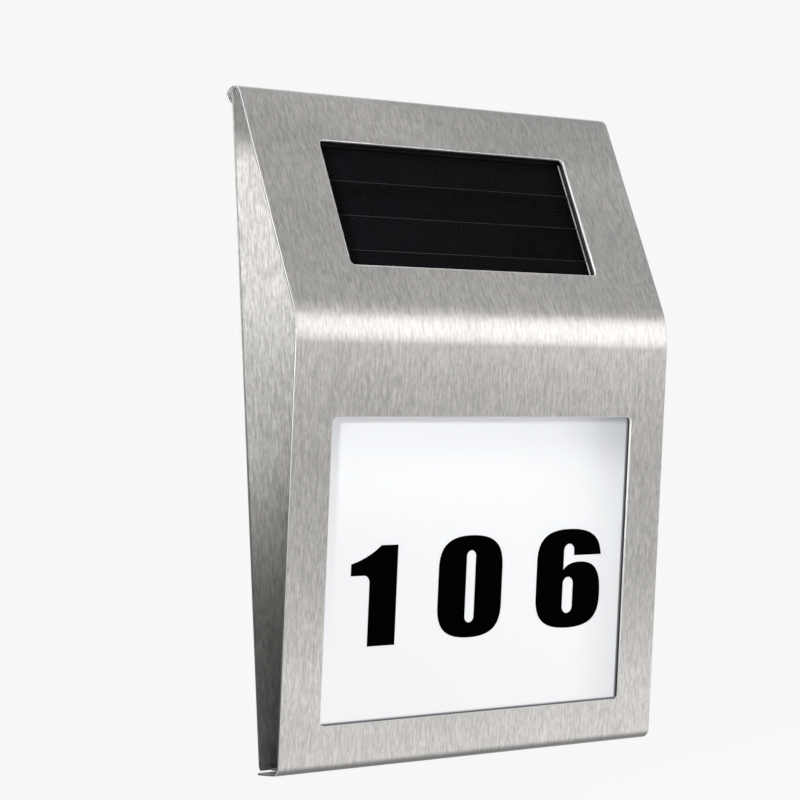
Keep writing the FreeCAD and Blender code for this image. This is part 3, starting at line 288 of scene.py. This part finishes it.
def cut_edge():
    """Bright bevels of the cover's sheet, with painted shade on the rim and bevel along its sides.
    """
    edge = Finish("cut_edge")
    burr = edge.noise(1500.0, detail=2.0)
    x, _, z = edge.place()
    bright = edge.blend(burr, colour(0.76, 0.76, 0.75), colour(0.94, 0.94, 0.93))
    # Painted shade: side bevels dimmed above a height just below the bend, and the side rim near
    # black
    bevel = (abs(x) > HALF_WIDTH - BEVEL_DEPTH) * (z > BEVEL_FOOT)
    painted_rim_shade = (0.5 * bevel).highest(0.95 * (abs(x) > HALF_WIDTH - RIM_DEPTH))
    return edge.surface(Base_Color=edge.blend(painted_rim_shade, bright, colour(0.10, 0.10, 0.10)),
                        Metallic=0.4, Roughness=0.34 + 0.2 * burr,
                        Normal=edge.bump(burr, 0.00002, 0.4))


def plain_steel():
    """Bright zinc-plated fasteners with a fine frosted grain."""
    steel = Finish("plain_steel")
    frost = steel.noise(2600.0, detail=2.0)
    cloud = steel.noise(240.0)
    tone = steel.blend(cloud, colour(0.47, 0.48, 0.50), colour(0.64, 0.64, 0.63))
    return steel.surface(Base_Color=tone, Metallic=1.0, Roughness=0.24 + 0.16 * frost,
                         Normal=steel.bump(frost, 0.00002, 0.3))


def opal_acrylic():
    """Backlit opal: painted shade to its top and right, painted shadow at foot and right rim."""
    opal = Finish("opal_acrylic")
    x, _, z = opal.place()
    low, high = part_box("number_lens")
    # Painted shade: the glow dims to the right, the top, the upper right corner and upward
    right = x.between(*LENS_RIGHT_SHADE)
    top = z.between(high.z - LENS_TOP_SHADE[0], high.z - LENS_TOP_SHADE[1])
    painted_height_shade = z.between(*LENS_HEIGHT_SHADE)
    corner_top = z.between(high.z - LENS_CORNER_TOP[0], high.z - LENS_CORNER_TOP[1])
    corner = x.between(*LENS_CORNER_SIDE) * corner_top
    edge = 0.21 * right + 0.24 * top + 0.22 * corner + 0.18 * painted_height_shade
    # Painted shadow: glow and base colour go dark along the foot and the right side
    painted_foot_shadow = 1.0 - z.between(low.z + LENS_FOOT_SHADOW[0], low.z + LENS_FOOT_SHADOW[1])
    rim = painted_foot_shadow.highest(x.between(*LENS_SIDE_SHADOW))
    mottle = opal.noise(30.0, detail=2.0)
    lit = opal.blend(edge + 0.03 * mottle, colour(0.66, 0.67, 0.68), colour(0.04, 0.05, 0.07))
    glow = opal.blend(rim, lit, colour(0.10, 0.10, 0.11))
    haze = opal.noise(1800.0, detail=1.0)
    base = opal.blend(rim, colour(0.50, 0.505, 0.515), colour(0.06, 0.06, 0.06))
    return opal.surface(Base_Color=base, Roughness=0.42 + 0.08 * haze,
                        Emission_Color=glow, Emission_Strength=1.0, Specular_IOR_Level=0.2,
                        Normal=opal.bump(haze, 0.000004, 0.2))


def black_film():
    """Matt black vinyl with a faint orange-peel."""
    vinyl = Finish("black_film")
    peel = vinyl.noise(1500.0, detail=2.0)
    tone = vinyl.blend(peel, colour(0.0008, 0.0008, 0.001), colour(0.002, 0.002, 0.0022))
    return vinyl.surface(Base_Color=tone, Roughness=0.5 + 0.14 * peel, Specular_IOR_Level=0.0,
                         Normal=vinyl.bump(peel, 0.000006, 0.3))


def moulded(name, dark, pale, roughness, grain_scale=1400.0, depth=0.00002):
    """Moulded plastic with spark-eroded grain and a slow change of tone."""
    plastic = Finish(name)
    grain = plastic.noise(grain_scale, detail=3.0)
    drift = plastic.noise(28.0, detail=1.0)
    tone = plastic.blend(0.35 * grain + 0.65 * drift, dark, pale)
    return plastic.surface(Base_Color=tone, Roughness=roughness + 0.12 * grain,
                           Normal=plastic.bump(grain, depth, 0.5))


def panel_glass():
    """Clear coated glass that hardly mirrors, with the faintest waviness."""
    glass = Finish("panel_glass")
    wave = glass.noise(60.0, detail=1.0)
    dust = glass.noise(900.0, detail=3.0)
    return glass.surface(Base_Color=colour(0.004, 0.004, 0.005), Roughness=0.06 + 0.04 * dust,
                         Alpha=0.052 + 0.016 * dust, Normal=glass.bump(wave, 0.00001, 0.2))


def solar_cell():
    """Blue-black strips with crystal cloudiness, each with a silver bar along its upper edge."""
    cell = Finish("solar_cell")
    cloud = cell.noise(160.0, detail=2.0)
    x, y, z = cell.place()
    up = (z - BEND.z) * math.cos(UPPER) + (y - BEND.y) * math.sin(UPPER)
    row = ((CELL_TOP - up) / CELL_PITCH).maths("FRACT") * CELL_PITCH
    bar = (row < SILVER_WIDTH).highest(abs(abs(x) - CELL_SIDE) < SILVER_WIDTH)
    fingers = (x * FINGERS_PER_METRE).maths("FRACT") < FINGER_SHARE
    tone = cell.blend(cloud, colour(0.0008, 0.0010, 0.0015), colour(0.0018, 0.0022, 0.0032))
    faint = cell.blend(0.004 * fingers, tone, colour(0.30, 0.31, 0.33))
    silver = cell.blend(bar, faint, colour(0.80, 0.80, 0.79))
    return cell.surface(Base_Color=silver, Roughness=0.45 + 0.1 * cloud, Specular_IOR_Level=0.05)


def circuit_board():
    """Green solder resist with faint copper runs below it."""
    board = Finish("circuit_board")
    x, y, z = board.place()
    runs = ((x * 330.0).maths("FRACT") < 0.32) * ((z * 210.0 + y * 120.0).maths("FRACT") < 0.8)
    speck = board.noise(2200.0)
    tone = board.blend(0.6 * runs + 0.2 * speck,
                       colour(0.008, 0.085, 0.030), colour(0.022, 0.17, 0.065))
    return board.surface(Base_Color=tone, Roughness=0.30 + 0.1 * speck,
                         Normal=board.bump(runs, 0.00003, 0.4))


def lamp():
    """Small lamps with a yellow phosphor window that glows."""
    chip = Finish("lamp")
    grain = chip.noise(900.0)
    glow = chip.blend(grain, colour(1.0, 0.93, 0.78), colour(1.0, 0.97, 0.90))
    return chip.surface(Base_Color=colour(0.9, 0.86, 0.6), Roughness=0.35 + 0.1 * grain,
                        Emission_Color=glow, Emission_Strength=2.0)


def battery_sleeve():
    """Shrink sleeve with a bare metal cap at the raised end."""
    sleeve = Finish("battery_sleeve")
    x = sleeve.place()[0]
    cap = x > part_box("battery")[1].x - BATTERY_CAP
    scuff = sleeve.noise(500.0, (1, 6, 6))
    plain = sleeve.blend(scuff, colour(0.020, 0.16, 0.060), colour(0.035, 0.23, 0.090))
    tone = sleeve.blend(cap, plain, colour(0.60, 0.60, 0.60))
    return sleeve.surface(Base_Color=tone, Metallic=cap, Roughness=0.28 + 0.12 * scuff,
                          Normal=sleeve.bump(scuff, 0.00002, 0.2))


def insulation(name, dark, pale):
    """Soft plastic wire insulation, a little dusty."""
    wire = Finish(name)
    dust = wire.noise(700.0)
    return wire.surface(Base_Color=wire.blend(dust, dark, pale), Roughness=0.4 + 0.15 * dust,
                        Normal=wire.bump(dust, 0.00001, 0.3))


EDGE = cut_edge()
STEEL = brushed_steel("brushed_stainless",
                      colour(0.545, 0.53, 0.515), colour(0.885, 0.86, 0.835), 0.25)
PLATE_STEEL = brushed_steel("brushed_plate",
                            colour(0.425, 0.415, 0.40), colour(0.79, 0.775, 0.75), 0.48)
FINISHES = {
    "brushed_stainless": STEEL,
    "plain_steel": plain_steel(),
    "opal_acrylic": opal_acrylic(),
    "black_film": black_film(),
    "white_plastic": moulded("white_plastic",
                             colour(0.70, 0.70, 0.69), colour(0.80, 0.80, 0.79), 0.42),
    "white_foil": moulded("white_foil",
                          colour(0.78, 0.78, 0.77), colour(0.86, 0.86, 0.85), 0.30),
    "black_plastic": moulded("black_plastic",
                             colour(0.012, 0.012, 0.013), colour(0.024, 0.024, 0.026), 0.40),
    "black_foam": moulded("black_foam",
                          colour(0.008, 0.008, 0.008), colour(0.030, 0.030, 0.030), 0.75,
                          grain_scale=2600.0, depth=0.00010),
    "black_rubber": moulded("black_rubber",
                            colour(0.010, 0.010, 0.010), colour(0.022, 0.022, 0.022), 0.55),
    "panel_glass": panel_glass(),
    "solar_cell": solar_cell(),
    "circuit_board": circuit_board(),
    "board_component": moulded("board_component",
                               colour(0.02, 0.02, 0.022), colour(0.05, 0.05, 0.055), 0.40),
    "lamp": lamp(),
    "battery_sleeve": battery_sleeve(),
    "contact_spring": plain_steel(),
    "wire_insulation": insulation("wire_insulation",
                                  colour(0.20, 0.010, 0.008), colour(0.34, 0.020, 0.015)),
}
for subpart in frame["record"]["subparts"]:
    node = nodes[subpart["node"]]
    node.data.materials.clear()
    node.data.materials.append(FINISHES[subpart["material_slot"]])


# ---- mesh kit

def new_piece(name, mesh, material, replaced, body="cover"):
    """A finished piece that rides on a body and stands for the nodes it replaces."""
    piece = bpy.data.objects.new(name, mesh)
    bpy.context.scene.collection.objects.link(piece)
    mesh.materials.append(material)
    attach(piece, body)
    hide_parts(*replaced)
    return piece


def profile_path():
    """The cover's outside as (length along the sheet, y, z): curl lip, slopes, bends and flange."""
    apex = Vector((0, -CURL_GAP, BEND.z + (-BEND.y - CURL_GAP) / math.tan(UPPER)))
    lip = Vector((0, -CURL_GAP, apex.z - CURL_RADIUS / math.tan(UPPER / 2) - CURL_LIP))
    foot = BEND + Vector((0, math.sin(LOWER), -math.cos(LOWER))) * LOWER_LENGTH
    corners = [lip, apex, BEND, foot, Vector((0, -FOOT_GAP, foot.z))]
    points = rounded(corners, [CURL_RADIUS, BEND_RADIUS, FOOT_RADIUS])
    lengths = [0.0]
    for one, two in zip(points, points[1:]):
        lengths.append(lengths[-1] + (two - one).length)
    return list(zip(lengths, points))


def rounded(corners, radii):
    """Points along the sheet's flats, with its bends rounded to the given radii."""
    points = [corners[0]]
    for before, corner, after, radius in zip(corners, corners[1:], corners[2:], radii):
        back = (before - corner).normalized()
        ahead = (after - corner).normalized()
        half_turn = (math.pi - back.angle(ahead)) / 2
        tangent = radius * math.tan(half_turn)
        centre = corner + (back + ahead).normalized() * (radius / math.cos(half_turn))
        start = corner + back * tangent - centre
        turn = start.rotation_difference(corner + ahead * tangent - centre)
        steps = max(LEAST_BEND_STEPS, round(2 * half_turn / BEND_STEP))
        for step in range(steps + 1):
            arm = start.copy()
            arm.rotate(Quaternion().slerp(turn, step / steps))
            points.append(centre + arm)
    points.append(corners[-1])
    return points


PATH = profile_path()


def path_length_at(point):
    """Length along the sheet to its place nearest a point."""
    found = []
    for (length, one), (_, two) in zip(PATH, PATH[1:]):
        along = two - one
        share = min(max((point - one).dot(along) / along.length_squared, 0), 1)
        gap = (one + along * share - point).length
        found.append((gap, length + share * along.length))
    return min(found)[1]


def on_path(length, x):
    """The place on the cover's outside at a length along the sheet."""
    for (start, one), (end, two) in zip(PATH, PATH[1:]):
        if length <= end + ROUNDING:
            share = 0 if end == start else (length - start) / (end - start)
            spot = one + (two - one) * max(share, 0)
            return Vector((x, spot.y, spot.z))
    return Vector((x, PATH[-1][1].y, PATH[-1][1].z))


def window_spans():
    """(half width, first and last length along the sheet) of both windows."""
    up = Vector((0, math.sin(UPPER), math.cos(UPPER)))
    down = Vector((0, math.sin(LOWER), -math.cos(LOWER)))
    width, low, height = SOLAR_WINDOW
    solar = (width / 2, path_length_at(BEND + up * (low + height)), path_length_at(BEND + up * low))
    width, top, height = NUMBER_WINDOW
    foot = BEND + down * (top + height)
    number = (width / 2, path_length_at(BEND + down * top), path_length_at(foot))
    return [solar, number]


def well_apart(cuts):
    """Cuts in order, without those that lie on the next one."""
    cuts = sorted(cuts)
    return [cut for cut, after in zip(cuts, cuts[1:]) if after - cut > SAME_PLACE] + cuts[-1:]


def cover_sheet():
    """The folded cover with smooth bends, rounded window corners and bevelled cut edges."""
    spans = window_spans()
    rows = {length for length, _ in PATH}
    columns = {-HALF_WIDTH, HALF_WIDTH, HALF_WIDTH - CURL_CORNER, CURL_CORNER - HALF_WIDTH}
    corner_cells = []
    for half, start, end in spans:
        for x, inward_x in ((-half, 1), (half, -1)):
            columns |= {x, x + inward_x * WINDOW_CORNER}
            for length, inward in ((start, 1), (end, -1)):
                rows |= {length, length + inward * WINDOW_CORNER}
                corner_cells.append((x, inward_x, length, inward, WINDOW_CORNER))
    for x, inward_x in ((-HALF_WIDTH, 1), (HALF_WIDTH, -1)):
        corner_cells.append((x, inward_x, 0.0, 1, CURL_CORNER))
    rows = well_apart(rows | {CURL_CORNER})
    columns = well_apart(columns)
    mesh = bmesh.new()
    made = {}

    def vertex(x, length):
        key = (round(x, 7), round(length, 7))
        if key not in made:
            made[key] = mesh.verts.new(on_path(length, x))
        return made[key]

    def window_at(x, length):
        return any(abs(x) < half and start < length < end for half, start, end in spans)

    def corner_at(x, length):
        return any(0 < (x - cx) * inward_x < radius and 0 < (length - cl) * inward < radius
                   for cx, inward_x, cl, inward, radius in corner_cells)

    for left, right in zip(columns, columns[1:]):
        for high, low in zip(rows, rows[1:]):
            middle = ((left + right) / 2, (high + low) / 2)
            if not corner_at(*middle) and not window_at(*middle):
                spots = ((left, high), (left, low), (right, low), (right, high))
                mesh.faces.new([vertex(*spot) for spot in spots])
    window_corners = []
    for cx, inward_x, cl, inward, radius in corner_cells:
        centre = (cx + inward_x * radius, cl + inward * radius)
        if radius == WINDOW_CORNER:
            window_corners.append(vertex(cx, cl))
            arc = []
            for step in range(WINDOW_CORNER_STEPS + 1):
                turn = math.pi / 2 * step / WINDOW_CORNER_STEPS
                arc.append(vertex(centre[0] - inward_x * radius * math.cos(turn),
                                  centre[1] - inward * radius * math.sin(turn)))
            mesh.faces.new(window_corners[-1:] + arc)
        else:
            cuts = [row for row in rows if cl <= row <= radius + SAME_PLACE]
            inner = [vertex(centre[0], row) for row in cuts]
            rim = []
            for row in cuts:
                reach = math.sqrt(max(radius ** 2 - (radius - row) ** 2, 0))
                rim.append(vertex(centre[0] - inward_x * reach, row))
            for corners in zip(rim, rim[1:], inner[1:], inner):
                mesh.faces.new(list(dict.fromkeys(corners)))
    # Without its corner each window's arc has room beside it for the bevel.
    bmesh.ops.dissolve_verts(mesh, verts=window_corners)
    bmesh.ops.recalc_face_normals(mesh, faces=mesh.faces[:])
    front = max(mesh.faces, key=lambda f: f.calc_area())
    if front.normal.y > 0:
        bmesh.ops.reverse_faces(mesh, faces=mesh.faces[:])
    sheet = bpy.data.meshes.new("cover_sheet")
    mesh.to_mesh(sheet)
    mesh.free()
    piece = new_piece("cover_sheet", sheet, STEEL, ["front_cover"])
    solid = piece.modifiers.new("thickness", "SOLIDIFY")
    solid.thickness = SHEET
    solid.offset = -1
    solid.use_even_offset = True
    solid.material_offset_rim = 1
    soft = piece.modifiers.new("cut_edges", "BEVEL")
    soft.width = EDGE_BEVEL
    soft.segments = 2
    soft.limit_method = "ANGLE"
    soft.angle_limit = CUT_EDGE_ANGLE
    soft.material = 1
    piece.data.materials.append(EDGE)
    bake_modifiers(piece)


def bake_modifiers(piece):
    """Replaces a piece's mesh by the mesh its modifiers make, with flat faces shaded flat."""
    use_evaluated_mesh(piece)
    piece.data.shade_smooth()
    piece.data.set_sharp_from_angle(angle=SHARP_ANGLE)
    piece.modifiers.new("flat_shading", "WEIGHTED_NORMAL").keep_sharp = True
    use_evaluated_mesh(piece)


def use_evaluated_mesh(piece):
    """Gives a piece the mesh that its modifiers make, and takes them off."""
    view = bpy.context.evaluated_depsgraph_get()
    made = bpy.data.meshes.new_from_object(piece.evaluated_get(view))
    piece.modifiers.clear()
    piece.data = made


cover_sheet()


# ---- fasteners, wires and mouldings

def turned(mesh, seat, axis, outline, sides=36, bore=False):
    """Adds a turned solid from rings in millimetres.

    Each ring is (radius, height along the axis), or a function that gives it at an angle.
    """
    across = Vector((0, 0, 1)) if abs(axis.x) > 0.5 else Vector((1, 0, 0))
    aside = axis.cross(across)
    rings = []
    for entry in outline:
        ring = []
        for step in range(sides):
            angle = 2 * math.pi * step / sides
            radius, height = entry(angle) if callable(entry) else entry
            arm = across * math.cos(angle) + aside * math.sin(angle)
            ring.append(mesh.verts.new(seat + (axis * height + arm * radius) * MM))
        rings.append(ring)
    if bore:
        rings.append(rings[0])
    for one, two in zip(rings, rings[1:]):
        for step in range(sides):
            mesh.faces.new([one[step - 1], one[step], two[step], two[step - 1]])
    if not bore:
        mesh.faces.new(rings[0])
        mesh.faces.new(rings[-1])


def finished(name, mesh, slot, replaced):
    """Makes a smooth-shaded piece on the cover from a mesh."""
    bmesh.ops.recalc_face_normals(mesh, faces=mesh.faces[:])
    data = bpy.data.meshes.new(name)
    mesh.to_mesh(data)
    mesh.free()
    bake_modifiers(new_piece(name, data, FINISHES[slot], [replaced]))


def solids_of(node):
    """Lowest and highest corner of each separate solid of a CAD node, in a steady order."""
    mesh = bmesh.new()
    mesh.from_mesh(nodes[node].data)
    bmesh.ops.remove_doubles(mesh, verts=mesh.verts[:], dist=WELD)
    seen = set()
    found = []
    for first in mesh.verts:
        if first in seen:
            continue
        seen.add(first)
        group = [first]
        for vert in group:
            for edge in vert.link_edges:
                other = edge.other_vert(vert)
                if other not in seen:
                    seen.add(other)
                    group.append(other)
        low = Vector([min(v.co[i] for v in group) for i in range(3)])
        high = Vector([max(v.co[i] for v in group) for i in range(3)])
        found.append((low, high))
    mesh.free()
    return sorted(found, key=lambda corners: (round(corners[0].z, 5), round(corners[0].x, 5)))


def hexagon_reach(flats, angle):
    """How far a hexagon reaches, which has a corner on the first axis."""
    return flats / 2 / math.cos(angle % (math.pi / 3) - math.pi / 6)


def hexagon(flats, height):
    """A six-sided ring."""
    return lambda angle: (hexagon_reach(flats, angle), height)


def chamfered(flats, height, slope=0.5):
    """The ring where a nut's flats meet its turned end."""
    def ring(angle):
        reach = hexagon_reach(flats, angle)
        return reach, height - (reach - flats / 2 + 0.05) * slope
    return ring


def cross(reach, half_width, height):
    """A cross-shaped ring for a driver's recess."""
    def ring(angle):
        turn = abs((angle + math.pi / 4) % (math.pi / 2) - math.pi / 4)
        side = half_width / max(math.sin(turn), 1e-6)
        return min(reach / math.cos(turn), side), height
    return ring


def inward(height):
    """The direction from the cover's outside to its inside, on the slope at a height."""
    if height > BEND.z:
        return Vector((0, math.cos(UPPER), -math.sin(UPPER)))
    return Vector((0, math.cos(LOWER), math.sin(LOWER)))


def studs_and_nuts():
    """Threaded studs with chamfered ends, and hexagon nuts with turned corners."""
    thread = [(STUD_RADIUS, 0), (STUD_RADIUS, 0.8)]
    for turn in range(STUD_TURNS):
        start = 1.0 + turn * THREAD_PITCH
        thread += [(STUD_RADIUS - 0.16, start), (STUD_RADIUS - 0.01, start + THREAD_PITCH / 2)]
    thread += [(STUD_RADIUS - 0.2, STUD_LENGTH - 0.25), (STUD_RADIUS - 0.45, STUD_LENGTH)]
    face, bore = NUT_FLATS / 2 - 0.05, NUT_BORE
    nut = [(bore + 0.25, 0), (face, 0), chamfered(NUT_FLATS, 0.32, -0.5)]
    nut += [chamfered(NUT_FLATS, NUT_THICKNESS - 0.02), (face, NUT_THICKNESS)]
    nut += [(bore + 0.25, NUT_THICKNESS), (bore, NUT_THICKNESS - 0.25), (bore, 0.25)]
    for node, name, outline, long, sides, bored in (
            ("cover_studs", "threaded_studs", thread, STUD_LENGTH, 20, False),
            ("stud_nuts", "hexagon_nuts", nut, NUT_THICKNESS, 36, True)):
        mesh = bmesh.new()
        for low, high in solids_of(node):
            middle = (low + high) / 2
            axis = inward(middle.z)
            turned(mesh, middle - axis * (long / 2) * MM, axis, outline, sides, bored)
        finished(name, mesh, "plain_steel", node)


def housing_back_screws():
    """Pan-head screws with a cross recess and a coarse thread."""
    outline = [cross(0.55, 0.12, 0.75), cross(1.05, 0.24, 0.05)]
    outline += [(1.3, 0.03), (1.62, 0.14), (1.83, 0.42), (1.9, 0.8), (1.9, 1.3), (1.0, 1.3)]
    for turn in range(BACK_SCREW_TURNS):
        start = turn * BACK_SCREW_PITCH
        outline += [(0.72, 1.75 + start), (0.98, 2.1 + start)]
    outline += [(0.3, 7.8)]
    screws = bmesh.new()
    for low, high in solids_of("housing_screws"):
        seat = Vector(((low.x + high.x) / 2, high.y, (low.z + high.z) / 2))
        turned(screws, seat, Vector((0, -1, 0)), outline, 48)
    finished("cross_head_screws", screws, "plain_steel", "housing_screws")


def lock_screw_turned():
    """Countersunk screw with a hexagon socket; its head lies within the cover's foot flange."""
    low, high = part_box("lock_screw")
    length = (high.z - low.z) / MM
    outline = [(0.2, 1.0), hexagon(2.0, 0.95), hexagon(2.0, 0.0)]
    outline += [(2.55, 0.0), (2.72, 0.12), (1.5, 1.25)]
    for turn in range(int((length - 1.8) / THREAD_PITCH)):
        start = 1.5 + turn * THREAD_PITCH
        outline += [(1.34, start), (1.49, start + THREAD_PITCH / 2)]
    outline += [(1.1, length)]
    screw = bmesh.new()
    seat = Vector(((low.x + high.x) / 2, (low.y + high.y) / 2, low.z))
    turned(screw, seat, Vector((0, 0, 1)), outline)
    finished("socket_lock_screw", screw, "plain_steel", "lock_screw")


def grommets():
    """Soft rubber rings with rounded flanges, each round a wall."""
    down = Vector((0, math.sin(LOWER), -math.cos(LOWER)))
    for node, axis, wall in (("housing_grommet", Vector((0, 0, 1)), 2.0),
                             ("tray_grommet", down, 1.6)):
        long = wall + 2
        half = [(1.8, 0), (3.9, 0), (4.15, 0.25), (4.15, 0.75), (3.9, 1), (3.0, 1)]
        outline = half + [(radius, long - height) for radius, height in reversed(half)]
        outline += [(1.52, long - 0.3), (1.52, 0.3)]
        ring = bmesh.new()
        low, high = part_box(node)
        turned(ring, (low + high) / 2 - axis * (long / 2) * MM, axis, outline, bore=True)
        finished(node.replace("grommet", "wire_ring"), ring, "black_rubber", node)


def battery_turned():
    """The cell with its rolled rims and its nub."""
    low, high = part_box("battery")
    long = (high.x - low.x) / MM
    outline = [(0.5, 0.25), (3.2, 0.25), (3.6, 0), (6.2, 0), (6.9, 0.35), (7.24, 0.9)]
    outline += [(7.24, long - 1.9), (6.95, long - 1.3), (6.3, long - 1.0), (2.9, long - 1.0)]
    outline += [(2.74, long - 0.85), (2.74, long - 0.2), (2.5, long)]
    cell = bmesh.new()
    seat = Vector((low.x, (low.y + high.y) / 2, (low.z + high.z) / 2))
    turned(cell, seat, Vector((1, 0, 0)), outline, 48)
    finished("rechargeable_cell", cell, "battery_sleeve", "battery")


def lamp_leads():
    """Two round wires from the control board, through both rings, down to the lamp board."""
    data = bpy.data.curves.new("lamp_leads", "CURVE")
    data.dimensions = "3D"
    data.bevel_depth = WIRE_RADIUS
    data.bevel_resolution = 4
    data.resolution_u = 12
    data.use_fill_caps = True
    for x in WIRE_PLACES:
        line = data.splines.new("NURBS")
        line.points.add(len(WIRE_ROUTE) - 1)
        for point, (y, z) in zip(line.points, WIRE_ROUTE):
            point.co = (x * MM, y * MM, z * MM, 1)
        line.order_u = 3
        line.use_endpoint_u = True
    new_piece("lamp_leads", data, FINISHES["wire_insulation"], ["led_wires"])


def softened(node, name, slot, width, body="cover", material=None):
    """A node's own shape with its sharp edges rounded off by a width in millimetres."""
    mesh = bmesh.new()
    mesh.from_mesh(nodes[node].data)
    bmesh.ops.remove_doubles(mesh, verts=mesh.verts[:], dist=WELD)
    bmesh.ops.dissolve_limit(mesh, angle_limit=FLAT_ANGLE,
                             verts=mesh.verts[:], edges=mesh.edges[:])
    data = bpy.data.meshes.new(name)
    mesh.to_mesh(data)
    mesh.free()
    piece = new_piece(name, data, material or FINISHES[slot], [node], body)
    soft = piece.modifiers.new("softened_edges", "BEVEL")
    soft.width = width * MM
    soft.segments = 2
    soft.limit_method = "ANGLE"
    soft.angle_limit = MOULDED_EDGE_ANGLE
    bake_modifiers(piece)


studs_and_nuts()
housing_back_screws()
lock_screw_turned()
grommets()
battery_turned()
lamp_leads()
softened("wall_plate", "wall_plate_pressing", "brushed_stainless", 0.12,
         "wall_bracket", PLATE_STEEL)
softened("light_tray", "light_tray_moulding", "white_plastic", 0.35)
softened("solar_housing", "solar_housing_moulding", "black_plastic", 0.30)
softened("housing_back", "housing_back_moulding", "black_plastic", 0.20)
softened("battery_door", "battery_door_moulding", "black_plastic", 0.15, "door")
softened("switch_knob", "switch_knob_moulding", "black_plastic", 0.12, "switch")


# ---- stage, light and camera

def backdrop():
    """A pale floor that curves up behind the sign, nearly white but for a faint shadow."""
    paper = Finish("backdrop_paper")
    rays = paper.node("LightPath", output=0)
    for output in (3, 6):
        rays = rays.highest(paper.node("LightPath", output=output))
    diffuse = paper.node("BsdfDiffuse", None, Color=colour(0.8, 0.8, 0.8))
    white = paper.node("Emission", None, Color=colour(1, 1, 1), Strength=1.0)
    mixed = paper.node("MixShader", None, 0.9 * rays, diffuse, white)
    paper.node("OutputMaterial", None, Surface=mixed)
    outline = [Vector((0, BACKDROP_FRONT, BACKDROP_FLOOR))]
    centre = Vector((0, BACKDROP_REAR - BACKDROP_BEND, BACKDROP_FLOOR + BACKDROP_BEND))
    for step in range(BACKDROP_STEPS + 1):
        turn = math.pi / 2 * step / BACKDROP_STEPS
        outline.append(centre + Vector((0, math.sin(turn), -math.cos(turn))) * BACKDROP_BEND)
    outline.append(Vector((0, BACKDROP_REAR, BACKDROP_TOP)))
    mesh = bmesh.new()
    across = Vector((BACKDROP_HALF_WIDTH, 0, 0))
    for one, two in zip(outline, outline[1:]):
        spots = (one - across, one + across, two + across, two - across)
        mesh.faces.new([mesh.verts.new(spot) for spot in spots])
    bmesh.ops.remove_doubles(mesh, verts=mesh.verts[:], dist=WELD)
    sheet = bpy.data.meshes.new("backdrop")
    mesh.to_mesh(sheet)
    mesh.free()
    piece = bpy.data.objects.new("backdrop", sheet)
    bpy.context.scene.collection.objects.link(piece)
    sheet.materials.append(paper.material)
    sheet.shade_smooth()


def soft_light(name, place, target, size, power, spread=180):
    """A rectangular soft box; a small spread in degrees keeps its light in a beam."""
    data = bpy.data.lights.new(name, "AREA")
    data.shape = "RECTANGLE"
    data.size, data.size_y = size
    data.energy = power
    data.spread = math.radians(spread)
    box = bpy.data.objects.new(name, data)
    bpy.context.scene.collection.objects.link(box)
    box.location = place
    box.rotation_euler = (Vector(target) - Vector(place)).to_track_quat("-Z", "Y").to_euler()


def studio():
    """Grey surroundings, a wide soft box for the bend and a narrow one for the open left side."""
    world = bpy.data.worlds.new("studio_grey")
    bpy.context.scene.world = world
    world.use_nodes = True
    grey = world.node_tree.nodes["Background"]
    grey.inputs["Color"].default_value = colour(0.42, 0.42, 0.42)
    grey.inputs["Strength"].default_value = 1.0
    soft_light("bend_box", place=(0.95, -1.0, 0.20), target=(0, -0.03, 0.03),
               size=(1.2, 0.60), power=2.75)
    soft_light("left_box", place=(-0.70, -0.30, 0.27), target=(-0.08, -0.01, 0.075),
               size=(0.12, 0.12), power=0.23, spread=16)


def camera():
    """Camera aimed by heading, pitch and roll, with the lens that gives the photograph's view."""
    turn, tilt, roll = CAMERA_HEADING, CAMERA_PITCH, CAMERA_ROLL
    ahead = Vector((math.sin(turn) * math.cos(tilt),
                    math.cos(turn) * math.cos(tilt), math.sin(tilt)))
    level = Vector((math.cos(turn), -math.sin(turn), 0))
    upright = level.cross(ahead)
    right = level * math.cos(roll) + upright * math.sin(roll)
    up = upright * math.cos(roll) - level * math.sin(roll)
    data = bpy.data.cameras.new("photo_view")
    data.lens = FOCAL_LENGTH
    data.sensor_width = SENSOR
    view = bpy.data.objects.new("photo_view", data)
    bpy.context.scene.collection.objects.link(view)
    matrix = view.matrix_world.copy()
    for row in range(3):
        matrix[row][0] = right[row]
        matrix[row][1] = up[row]
        matrix[row][2] = -ahead[row]
        matrix[row][3] = CAMERA_PLACE[row]
    view.matrix_world = matrix
    bpy.context.scene.camera = view


backdrop()
studio()
camera()
bpy.context.scene.view_settings.view_transform = "Standard"
